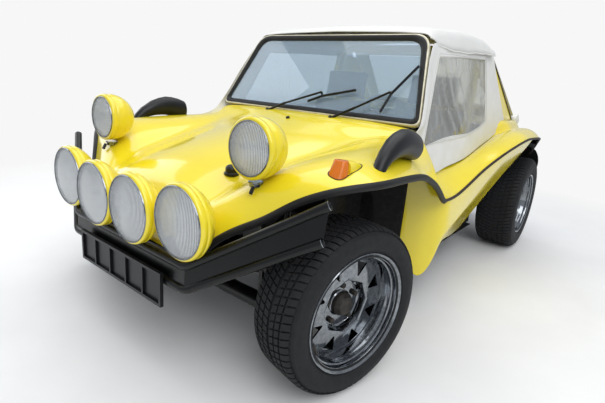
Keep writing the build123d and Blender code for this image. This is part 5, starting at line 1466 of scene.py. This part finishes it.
class BUGGY_OT_wheels(bpy.types.Operator):
    """Tyres with their tread, rims, wheel nuts and balance weights."""

    bl_idname = "buggy.wheels"
    bl_label = "Wheels"

    def execute(self, context):
        for end, radius, width, rim_width, dish in WHEEL_SIZES:
            half = rim_width / 2
            tyre = tyre_mesh(radius, width, rim_width)
            rim = rim_mesh(rim_width, dish)
            nuts = wheel_nuts(half - dish)
            # Balance weight on the barrel, just behind the rim's outer edge
            weight = block((-0.022, half - 0.034, 0.1785), (0.022, half - 0.014, 0.1862))
            moved(weight, Matrix.Rotation(radians(115), 4, "Y"))
            for side_name, side in SIDES:
                name, matrix = f"{end}_{side_name}", wheel_matrix(side, end == "front")
                body = f"wheel_{name}"
                dress(copied(tyre, matrix), f"tread_{name}", body, "tyre", [f"tyre_{name}"])
                dress(copied(rim, matrix), f"disc_{name}", body, "chrome", [f"rim_{name}"])
                dress(copied(nuts, matrix), f"nuts_{name}", body, "iron")
                dress(copied(weight, matrix), f"weight_{name}", body, "iron")
            remove(tyre, rim, nuts, weight)
        return {"FINISHED"}


# Lamps

# Middles of the lens glasses on the left side, in millimetres
HEADLAMP = (273, 433, 789)
LAMP_PLACES = ((459, 348, 576), (478, 114, 563))
# Lamps: name, places, lens radius, wall outside it, depth of the bowl, and the frame's nodes
LAMPS = (
    ("headlight", (HEADLAMP,), 0.081, 0.013, 0.130, "headlight_shells", "headlight_lenses"),
    ("driving", LAMP_PLACES, 0.106, 0.010, 0.105, "lamp_shells", "lamp_lenses"),
)
# Depth of a bowl's straight rim, its wall, and the wall of a reflector
BOWL_RIM, BOWL_WALL, DISH_WALL = 0.030, 0.006, 0.0015
# Bright ring round a lens: distance outside its radius and place along the lamp
RING_SECTION = ((-0.0002, 0.0018), (0.0014, 0.0022), (0.0028, 0.0006), (0.0028, -0.006), (-0.0002, -0.006))


def lamp_at(obj, centre):
    """Turns a lamp piece, whose front looks along +Y, to face forward at its place."""
    return moved(obj, aim(place(*centre), (1, 0, 0)))


def bowl_mesh(lens_r, wall, depth):
    """Domed bowl with a rolled seam behind the lens."""
    outer = lens_r + wall
    points = [(0, -depth)]
    height = depth - BOWL_RIM
    ball = (outer**2 + height**2) / (2 * height)
    for i in range(1, 13):
        angle = asin(min(1, outer / ball)) * i / 12
        points.append((ball * sin(angle), -depth + ball * (1 - cos(angle))))
    # Straight rim with its rolled seam, then the front edge and the way back inside
    points += [
        (outer, -BOWL_RIM + 0.004),
        (outer - 0.0018, -0.0235),
        (outer - 0.0018, -0.0215),
        (outer, -0.0195),
        (outer, -0.008),
        (outer - 0.002, -0.0035),
        (outer - 0.006, -0.001),
        (lens_r + 0.0015, -0.0015),
        (lens_r + 0.0015, -BOWL_RIM),
    ]
    inner = outer - 0.005
    for i in range(8, 0, -1):
        angle = asin(min(1, inner / ball)) * i / 8
        points.append((ball * sin(angle), BOWL_WALL - depth + ball * (1 - cos(angle))))
    points.append((0, BOWL_WALL - depth))
    return smooth(turned(points, steps=96), 50)


def lens_mesh(lens_r, dome=0.011):
    """Slightly domed lens glass."""
    ball = (lens_r**2 + dome**2) / (2 * dome)
    front, back = [], []
    for i in range(13):
        r = lens_r * i / 12
        rise = sqrt(ball**2 - r**2) - (ball - dome)
        front.append((r, rise))
        back.append((max(0, r - 0.0005), rise - 0.0035))
    return smooth(turned(front + [(lens_r, -0.004)] + back[::-1], steps=96), 40)


def reflector_mesh(lens_r, depth=0.055):
    """Dished reflector with a bulb in its middle."""
    points = []
    for i in range(13):
        r = (lens_r - 0.003) * i / 12
        points.append((r, -depth + (depth - 0.008) * (i / 12) ** 2))
    outer = [(r, y - DISH_WALL) for r, y in reversed(points)]
    dish = smooth(turned(points + outer, steps=64), 60)
    bulb = [(0, -0.018), (0.006, -0.021), (0.009, -0.028), (0.009, -0.045), (0.006, -depth), (0, -depth)]
    return joined([dish, smooth(turned(bulb, steps=24), 60)])


class BUGGY_OT_lamps(bpy.types.Operator):
    """Headlights on the hood and four driving lamps on the bumper."""

    bl_idname = "buggy.lamps"
    bl_label = "Lamps"

    def execute(self, context):
        for kind, places, lens_r, wall, depth, shells, glasses in LAMPS:
            bowls, lenses, dishes, rings = [], [], [], []
            ring = [(lens_r + out, along) for out, along in RING_SECTION]
            for x, y, z in places:
                for spot in ((x, y, z), (x, -y, z)):
                    bowls.append(lamp_at(bowl_mesh(lens_r, wall, depth), spot))
                    lenses.append(lamp_at(lens_mesh(lens_r), spot))
                    dishes.append(lamp_at(reflector_mesh(lens_r), spot))
                    rings.append(lamp_at(smooth(turned(ring, closed=True, steps=96), 50), spot))
            dress(joined(bowls), f"{kind}_bowls", "chassis", "gelcoat", [shells])
            dress(joined(lenses), f"{kind}_glass", "chassis", "lens", [glasses])
            dress(joined(dishes), f"{kind}_reflectors", "chassis", "reflector")
            dress(joined(rings), f"{kind}_rings", "chassis", "chrome")
        return {"FINISHED"}


# Seats

# Cuts across a pad, depth and half width of its sewn channels, how far its sides are drawn in, and the
# radius of its piping cord
PAD_CUTS, CHANNEL_DEPTH, CHANNEL_HALF = 23, 0.006, 0.006
PULL, CORD_R = 0.05, 0.0035


def drawn_in(u, v, width, length):
    """A place on a pad, from shares of its half width and half length, with its sides drawn in."""
    x = width / 2 * u * (1 - PULL * (1 - v * v) * abs(u) ** 3)
    y = length / 2 * v * (1 - PULL * (1 - u * u) * abs(v) ** 3)
    return x, y


def cushion(width, length, height, crown, channels):
    """A stuffed pad on its back: crowned face along +Z, drawn in sides and sewn channels."""
    deselect()
    bpy.ops.mesh.primitive_cube_add(size=2)
    pad = bpy.context.object
    edit_all(pad)
    bpy.ops.mesh.subdivide(number_cuts=PAD_CUTS, smoothness=0)
    bpy.ops.object.mode_set(mode="OBJECT")
    for vertex in pad.data.vertices:
        u, v, w = vertex.co
        # Thinner towards the edges, crowned in the middle, and flatter below
        round_off = (u**8 + v**8) / 2
        swell = crown * (1 - u * u) * (1 - v * v) * (1 if w > 0 else 0.15)
        z = w * (height / 2 * (1 - 0.28 * round_off) + swell)
        # Channels run over the top face and fade out before its edge
        if w > 0.5 and max(abs(u), abs(v)) < 0.93:
            strays = [(u - line) * width / 2 / CHANNEL_HALF for line in channels]
            z -= sum(CHANNEL_DEPTH * exp(-(stray**2)) for stray in strays) * (1 - v**6)
        vertex.co = (*drawn_in(u, v, width, length), z)
    modify(pad, "SMOOTH", factor=0.5, iterations=3)
    return smooth(subdivided(pad, 1), 80)


def seam_ring(width, length, level):
    """Piping cord sewn round a pad at a height."""
    points = []
    for u0, v0, u1, v1 in ((-1, -1, 1, -1), (1, -1, 1, 1), (1, 1, -1, 1), (-1, 1, -1, -1)):
        for i in range(10):
            t = i / 10
            u, v = u0 + (u1 - u0) * t, v0 + (v1 - v0) * t
            # The cord turns round the pad's corners
            u, v = u * (1 - 0.07 * v**6), v * (1 - 0.07 * u**6)
            points.append((*drawn_in(u, v, width, length), level))
    return tube(points, CORD_R, True)


# Channels of a pad as shares of its half width
CHANNELS = (-0.62, -0.2, 0.2, 0.62)
# Pads of a seat: name, width, length, height, middle as x and z in millimetres, lean in degrees, crown,
# channels
SEAT_PADS = (
    ("base", 0.41, 0.335, 0.125, (-1035, 362), 6.5, 0.020, CHANNELS),
    ("back", 0.41, 0.530, 0.078, (-1290, 655), 96.5, 0.016, CHANNELS),
    ("headrest", 0.28, 0.165, 0.070, (-1345, 1010), 98.0, 0.012, ()),
)
SEAT_Y = 305


class BUGGY_OT_seats(bpy.types.Operator):
    """Bucket seats as stuffed pads with sewn channels and piping."""

    bl_idname = "buggy.seats"
    bl_label = "Seats"

    def execute(self, context):
        for name, width, length, height, (x, z), lean, crown, channels in SEAT_PADS:
            pad = cushion(width, length, height, crown, channels)
            cord = seam_ring(width, length, height * 0.3)
            # Across the car, along the pad's length, and out of its crowned face
            rise, run = sin(radians(lean)), cos(radians(lean))
            along = Vector((run, 0, rise))
            face = Vector((rise, 0, -run)) * (1 if lean > 45 else -1)
            turn = Matrix((along.cross(face), along, face)).transposed().to_4x4()
            for end, side in SIDES:
                matrix = Matrix.Translation(place(x, side * SEAT_Y, z)) @ turn
                piece = copied(pad, matrix)
                dress(piece, f"seat_{name}_{end}", "chassis", "seat", ["seats"])
                dress(copied(cord, matrix), f"seat_cord_{name}_{end}", "chassis", "plastic")
            remove(pad, cord)
        return {"FINISHED"}


# Indicators and mirrors

# Rings of an indicator housing and of a mirror pod in millimetres: x, y and z of the middle, half
# width, half height, and how far the ring leans out of the upright in degrees
HOUSING_RINGS = (
    (92, 650, 752, 28, 27, 0),
    (70, 651, 751, 27, 26, 0),
    (48, 653, 749, 24, 24, 0),
    (28, 656, 748, 18, 18, 0),
    (12, 658, 749, 11, 11, 0),
    (2, 660, 751, 4, 4, 0),
)
POD_RINGS = (
    (-34, 701, 738, 22, 20, 58),
    (-50, 700, 760, 23, 23, 48),
    (-80, 698, 784, 28, 28, 32),
    (-128, 694, 806, 35, 38, 12),
    (-200, 690, 819, 40, 48, 0),
    (-270, 687, 807, 41, 52, 0),
    (-306, 686, 799, 38, 48, 0),
)
# Rings of an indicator lens going up in millimetres: z, back and front as x, half width
LENS_RINGS = (
    (712, 86, 144, 28),
    (735, 86, 142, 28),
    (769, 87, 125, 23),
    (776, 87, 123, 22),
    (779, 89, 120, 20),
)
# Distance of a lens from the middle of the car, x of the points where it is closed, and steps round it
LENS_Y, LENS_POLE, LENS_STEPS = 650, 105, 64
HOUSING_SQUARENESS, LENS_SQUARENESS = 0.85, 0.78
# Rubber between indicator and fender: points of the lens ring that it follows, then x and y of its way
# back round the housing, and its radius in metres
SEAL_FIRST, SEAL_LAST = 45, 20
SEAL_TAIL = ((48, 678), (20, 673), (0, 660), (20, 645), (48, 628))
SEAL_R = 0.0017
# Edge of a mirror pod round its glass: share of the last ring and distance in from it
POD_EDGE = ((0.93, 0), (0.92, 7), (0, 7))
# Glass of a mirror: x, y and z of its middle, half width and half height
MIRROR_FACE = (-301, 686, 799, 35, 44)


def oval(centre, across, rise, power=1.0, count=40):
    """A closed ring of points: an ellipse for a power of 1, squarer for less."""
    points = []
    for i in range(count + 1):
        c, s = cos(2 * pi * i / count), sin(2 * pi * i / count)
        points.append(centre + across * copysign(abs(c) ** power, c) + rise * copysign(abs(s) ** power, s))
    return points


def pod_rows(rings, spacing, power=1.0):
    """Rings through a table, about a spacing apart and closed at their start."""
    rows = []
    for x, y, z, half_w, half_h, lean in even(rings, spacing):
        across = Vector((0, half_w / 1000, 0))
        rise = Vector((sin(radians(lean)), 0, cos(radians(lean)))) * half_h / 1000
        rows.append(oval(place(x, y, z), across, rise, power))
    return [[place(*rings[0][:3])] * len(rows[0])] + rows


class BUGGY_OT_pods(bpy.types.Operator):
    """Indicators with their housings, and the mirror pods, on the front fenders."""

    bl_idname = "buggy.pods"
    bl_label = "Indicators and mirrors"

    def execute(self, context):
        rows = pod_rows(HOUSING_RINGS, 16, HOUSING_SQUARENESS)
        rows.append([place(*HOUSING_RINGS[-1][:3])] * len(rows[0]))
        housing = smooth(merged(skin(rows)), 50)
        rows = []
        for z, back, front, half_w in LENS_RINGS:
            middle = place((back + front) / 2, LENS_Y, z)
            along, across = Vector(((front - back) / 2000, 0, 0)), Vector((0, half_w / 1000, 0))
            rows.append(oval(middle, along, across, LENS_SQUARENESS, LENS_STEPS))
        foot, head = LENS_RINGS[0][0], LENS_RINGS[-1][0] + 1
        ends = [[place(LENS_POLE, LENS_Y, z)] * (LENS_STEPS + 1) for z in (foot, head)]
        lens = smooth(merged(skin([ends[0], *rows, ends[1]])), 40)
        shell = bpy.data.objects["shell_skin"]
        ring = rows[1][SEAL_FIRST:-1] + rows[1][:SEAL_LAST]
        seal = []
        for point in ring + [place(x, y, 0) for x, y in SEAL_TAIL]:
            hit, spot, _, _ = shell.ray_cast(Vector((point.x, point.y, 1.0)), Vector((0, 0, -1)))
            if not hit:
                raise RuntimeError("an indicator seal misses the fender")
            seal.append(spot + Vector((0, 0, 0.0005)))
        seal = tube(seal, SEAL_R, True)
        dress_pair(housing, "indicator_housings", "gelcoat", ["indicator_bases"])
        dress_pair(lens, "indicator_lenses", "amber", ["indicators"])
        dress_pair(seal, "indicator_seals", "rubber")

        rows = pod_rows(POD_RINGS, 34)
        x, y, z, half_w, half_h, _ = POD_RINGS[-1]
        for share, inset in POD_EDGE:
            across, rise = Vector((0, half_w * share / 1000, 0)), Vector((0, 0, half_h * share / 1000))
            rows.append(oval(place(x + inset, y, z), across, rise))
        dress_pair(smooth(merged(skin(rows)), 50), "mirror_pods", "plastic", ["mirrors"])
        return {"FINISHED"}


# Small fittings

# Bolt on a headlight's stem: how far it stands behind the lens in millimetres, then foot, head, radius
# and rounding in metres and the sides of its flange and its nut
BOLT_BACK = 38
BOLT = ((0.682, 0.688, 0.024, 0.001, 28), (0.670, 0.682, 0.019, 0.002, 6))
# Screw beside the nut: place from the bolt's axis on the left side and the way it points, in metres
SCREW_SPOT, SCREW_RUN = (0.020, 0.012, 0.676), (0.012, 0, -0.022)
# Hood cap, its collar, and the washer jet with its nozzle: both ends in millimetres from the front
# axle, then radius and rounding in metres, and sides
HOOD_RODS = (
    ((163, 247, 664), (166, 250, 696), 0.023, 0.006, 32),
    ((163, 247, 662), (163, 247, 674), 0.028, 0.003, 32),
    ((-400, 0, 822), (-400, 0, 836), 0.009, 0.003, 20),
    ((-396, 0, 832), (-408, 0, 836), 0.003, 0.001, 12),
)
# Flat stay of the roll bar, and the line of its rubber on it
STAY = flat((0, 566, 872), (0, 524.4, 1098), (1, 0, 0))
STAY_EDGE = ((-2184, -4), (-2010, 133), (-1860, 252), (-1733, 352))
# Bumper tubes: last bend and end, and the section of the ring that shows at the open end in metres
BUMPER_ENDS = (((425, 345, 430), (245, 720, 680)), ((430, 350, 355), (262, 720, 580)))
TUBE_END = ((0.0120, -0.001), (0.0146, -0.001), (0.0146, 0.0014), (0.0120, 0.0014))


class BUGGY_OT_fittings(bpy.types.Operator):
    """Mirror glasses, lamp bolts, hood cap, washer jet, bumper tube ends with black discs of painted shade,
    and stay rubber.
    """

    bl_idname = "buggy.fittings"
    bl_label = "Fittings"

    def execute(self, context):
        x, y, z, half_w, half_h = MIRROR_FACE
        # A slightly domed disc of radius 1, drawn out to the mirror's half width and half height
        disc = turned([(0, 0.0035), (0.5, 0.0028), (1, 0), (0.98, -0.001), (0, -0.001)], steps=48)
        moved(disc, aim(place(x, y, z), (-1, 0, 0)) @ Matrix.Diagonal((half_w / 1000, 1, half_h / 1000, 1)))
        dress_pair(smooth(disc, 60), "mirror_glasses", "mirror")

        chrome, black = [], []
        stem_x, stem_y, _ = HEADLAMP
        for side in (1, -1):
            spot = place(stem_x - BOLT_BACK, side * stem_y, 0)
            for foot, head, *size in BOLT:
                chrome.append(rod(spot + Vector((0, 0, foot)), spot + Vector((0, 0, head)), *size))
            x, y, z = SCREW_SPOT
            screw = spot + Vector((x, side * y, z))
            black.append(rod(screw, screw + Vector(SCREW_RUN), 0.006, 0.001, 6))
        for start, end, *size in HOOD_RODS:
            black.append(rod(place(*start), place(*end), *size))
        for bend, (x, y, z) in BUMPER_ENDS:
            for side in (1, -1):
                tip = place(x, side * y, z)
                run = (tip - place(bend[0], side * bend[1], bend[2])).normalized()
                chrome.append(moved(turned(TUBE_END, True, 32), aim(tip, run)))
                # A black disc at the open end is painted shade for the hollow inside of the tube
                black.append(rod(tip, tip + run * 0.0004, 0.0121, 0.0001, 32))
        dress(joined(chrome), "bolts_bright", "chassis", "chrome")
        dress(joined(black), "black_caps_and_tube_shade", "chassis", "plastic")

        line = tube([on(STAY, px, rise, -1.5) for px, rise in STAY_EDGE], 0.0035, kind="POLY")
        dress_pair(line, "stay_rubber", "rubber")
        return {"FINISHED"}


# Finishes of the frame's own nodes

NODE_FINISHES = {
    "gelcoat": ("side_panels", "roll_bar", "indicator_bases"),
    "dull_black": ("tub", "floor_pan"),
    "trim": ("windscreen_frame",),
    "glass": ("windscreen_glass",),
    "cloth": ("soft_top_roof", "side_curtains", "rear_panel"),
    "clear": ("side_windows", "rear_window"),
    "plastic": ("dash_panel", "plate_holder", "mirrors", "steering_wheel"),
    "black_steel": (
        "steering_column",
        "cockpit_controls",
        "seat_frames",
        "front_beam",
        "trailing_arms",
        "front_shocks",
        "rear_suspension",
        "fan_shroud",
        "front_bumper",
        "wipers",
        "rear_guard",
    ),
    "seat": ("seats",),
    "iron": (
        "drop_arm",
        "tie_rods",
        "knuckle_left",
        "knuckle_right",
        "drum_front_left",
        "drum_front_right",
        "drum_rear_left",
        "drum_rear_right",
    ),
    "alloy": ("transaxle", "engine"),
    "steel": ("exhaust",),
    "amber": ("indicators",),
    "red": ("tail_lamps",),
}


class BUGGY_OT_frame_finishes(bpy.types.Operator):
    """Gives the frame's own nodes their finishes."""

    bl_idname = "buggy.frame_finishes"
    bl_label = "Frame finishes"

    def execute(self, context):
        for kind, nodes in NODE_FINISHES.items():
            for name in nodes:
                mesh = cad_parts[name].data
                mesh.materials.clear()
                mesh.materials.append(finish(kind))
        return {"FINISHED"}


# Stage

# Camera of the photograph: place from the middle of the front axle, yaw, pitch and roll in degrees,
# focal length and width of the photograph in pixels, and the width of a sensor in millimetres
CAMERA_SPOT = (1.133, 1.313, 0.978)
CAMERA_TURNS = (217.675, 15.325, 4.758)
FOCAL_PX, PHOTO_WIDTH_PX, SENSOR = 419.64, 605, 36
# Softboxes: name, place, the point they face, width in metres and power
SOFTBOXES = (
    ("key_softbox", (3.0, 3.5, 4.2), (0.3, 0.2, 0.6), 3.5, 125),
    ("roof_softbox", (0.0, 0.0, 4.5), (0, 0, 0), 5.0, 120),
    ("fill_softbox", (1.5, -4.0, 2.6), (0.3, 0, 0.6), 3.0, 50),
)
# Pale blue light from all round, which is not seen itself
SKY, SKY_STRENGTH = (0.86, 0.90, 0.96, 1), 0.62
FLOOR_WIDTH = 60


class BUGGY_OT_stage(bpy.types.Operator):
    """Camera at the photograph's view, pale floor and plain studio light."""

    bl_idname = "buggy.stage"
    bl_label = "Stage"

    def execute(self, context):
        scene = context.scene
        scene.view_settings.view_transform = "Standard"
        yaw, pitch, roll = (radians(turn) for turn in CAMERA_TURNS)
        look = Vector((cos(pitch) * cos(yaw), cos(pitch) * sin(yaw), -sin(pitch)))
        right = look.cross(Vector((0, 0, 1))).normalized()
        up = right.cross(look)
        x = cos(roll) * right + sin(roll) * up
        y = -sin(roll) * right + cos(roll) * up
        data = bpy.data.cameras.new("photo_camera")
        data.sensor_width = SENSOR
        data.lens = SENSOR * FOCAL_PX / PHOTO_WIDTH_PX
        data.clip_start = 0.05
        camera = bpy.data.objects.new("photo_camera", data)
        turn = Matrix((x, y, -look)).transposed().to_4x4()
        camera.matrix_world = Matrix.Translation(Vector((FRONT_AXLE, 0, 0)) + Vector(CAMERA_SPOT)) @ turn
        scene.collection.objects.link(camera)
        scene.camera = camera

        deselect()
        bpy.ops.mesh.primitive_plane_add(size=FLOOR_WIDTH)
        floor = bpy.context.object
        floor.name = "studio_floor"
        floor.data.materials.append(studio_floor())

        world = scene.world or bpy.data.worlds.new("studio_world")
        scene.world = world
        world.use_nodes = True
        tree = world.node_tree
        tree.nodes.clear()
        rays = add_node(tree, "ShaderNodeLightPath").outputs
        either = {0: rays["Is Camera Ray"], 1: rays["Is Transmission Ray"]}
        seen = add_node(tree, "ShaderNodeMath", {"operation": "MAXIMUM"}, either)
        light = add_node(tree, "ShaderNodeBackground", {"Color": SKY, "Strength": SKY_STRENGTH})
        shown = add_node(tree, "ShaderNodeBackground", {"Color": BACKDROP, "Strength": 1.0})
        parts = {0: seen.outputs[0], 1: light.outputs[0], 2: shown.outputs[0]}
        mix = add_node(tree, "ShaderNodeMixShader", {}, parts)
        add_node(tree, "ShaderNodeOutputWorld", {}, {"Surface": mix.outputs[0]})
        for name, spot, goal, size, power in SOFTBOXES:
            data = bpy.data.lights.new(name, "AREA")
            data.shape = "SQUARE"
            data.size = size
            data.energy = power
            lamp = bpy.data.objects.new(name, data)
            aimed = (Vector(goal) - Vector(spot)).to_track_quat("-Z", "Y")
            lamp.matrix_world = Matrix.Translation(spot) @ aimed.to_matrix().to_4x4()
            scene.collection.objects.link(lamp)
        return {"FINISHED"}


class BUGGY_PT_panel(bpy.types.Panel):
    """Sidebar panel that lists the operators."""

    bl_idname = "BUGGY_PT_panel"
    bl_label = "Dune buggy"
    bl_space_type = "VIEW_3D"
    bl_region_type = "UI"
    bl_category = "Buggy"

    def draw(self, context):
        layout = self.layout
        for group in (context.scene.buggy_sizes, context.scene.buggy_colours):
            for key in group.__annotations__:
                layout.prop(group, key)
        for operator in OPERATORS:
            layout.operator(operator.bl_idname)


OPERATORS = (
    BUGGY_OT_stage,
    BUGGY_OT_frame_finishes,
    BUGGY_OT_body_shell,
    BUGGY_OT_lip_rubber,
    BUGGY_OT_rear_guards,
    BUGGY_OT_side_panels,
    BUGGY_OT_windscreen,
    BUGGY_OT_soft_top,
    BUGGY_OT_curtains,
    BUGGY_OT_rear_screen,
    BUGGY_OT_wheels,
    BUGGY_OT_lamps,
    BUGGY_OT_seats,
    BUGGY_OT_pods,
    BUGGY_OT_fittings,
)
CLASSES = (BuggySizes, BuggyColours, *OPERATORS, BUGGY_PT_panel)


def register():
    """Registers the classes and their settings."""
    for cls in CLASSES:
        bpy.utils.register_class(cls)
    bpy.types.Scene.buggy_sizes = bpy.props.PointerProperty(type=BuggySizes)
    bpy.types.Scene.buggy_colours = bpy.props.PointerProperty(type=BuggyColours)


def unregister():
    """Takes the classes and their settings away again."""
    del bpy.types.Scene.buggy_colours
    del bpy.types.Scene.buggy_sizes
    for cls in reversed(CLASSES):
        bpy.utils.unregister_class(cls)


def main():
    """Builds the whole scene."""
    register()
    for operator in OPERATORS:
        group, name = operator.bl_idname.split(".")
        getattr(getattr(bpy.ops, group), name)()


if __name__ == "__main__":
    main()
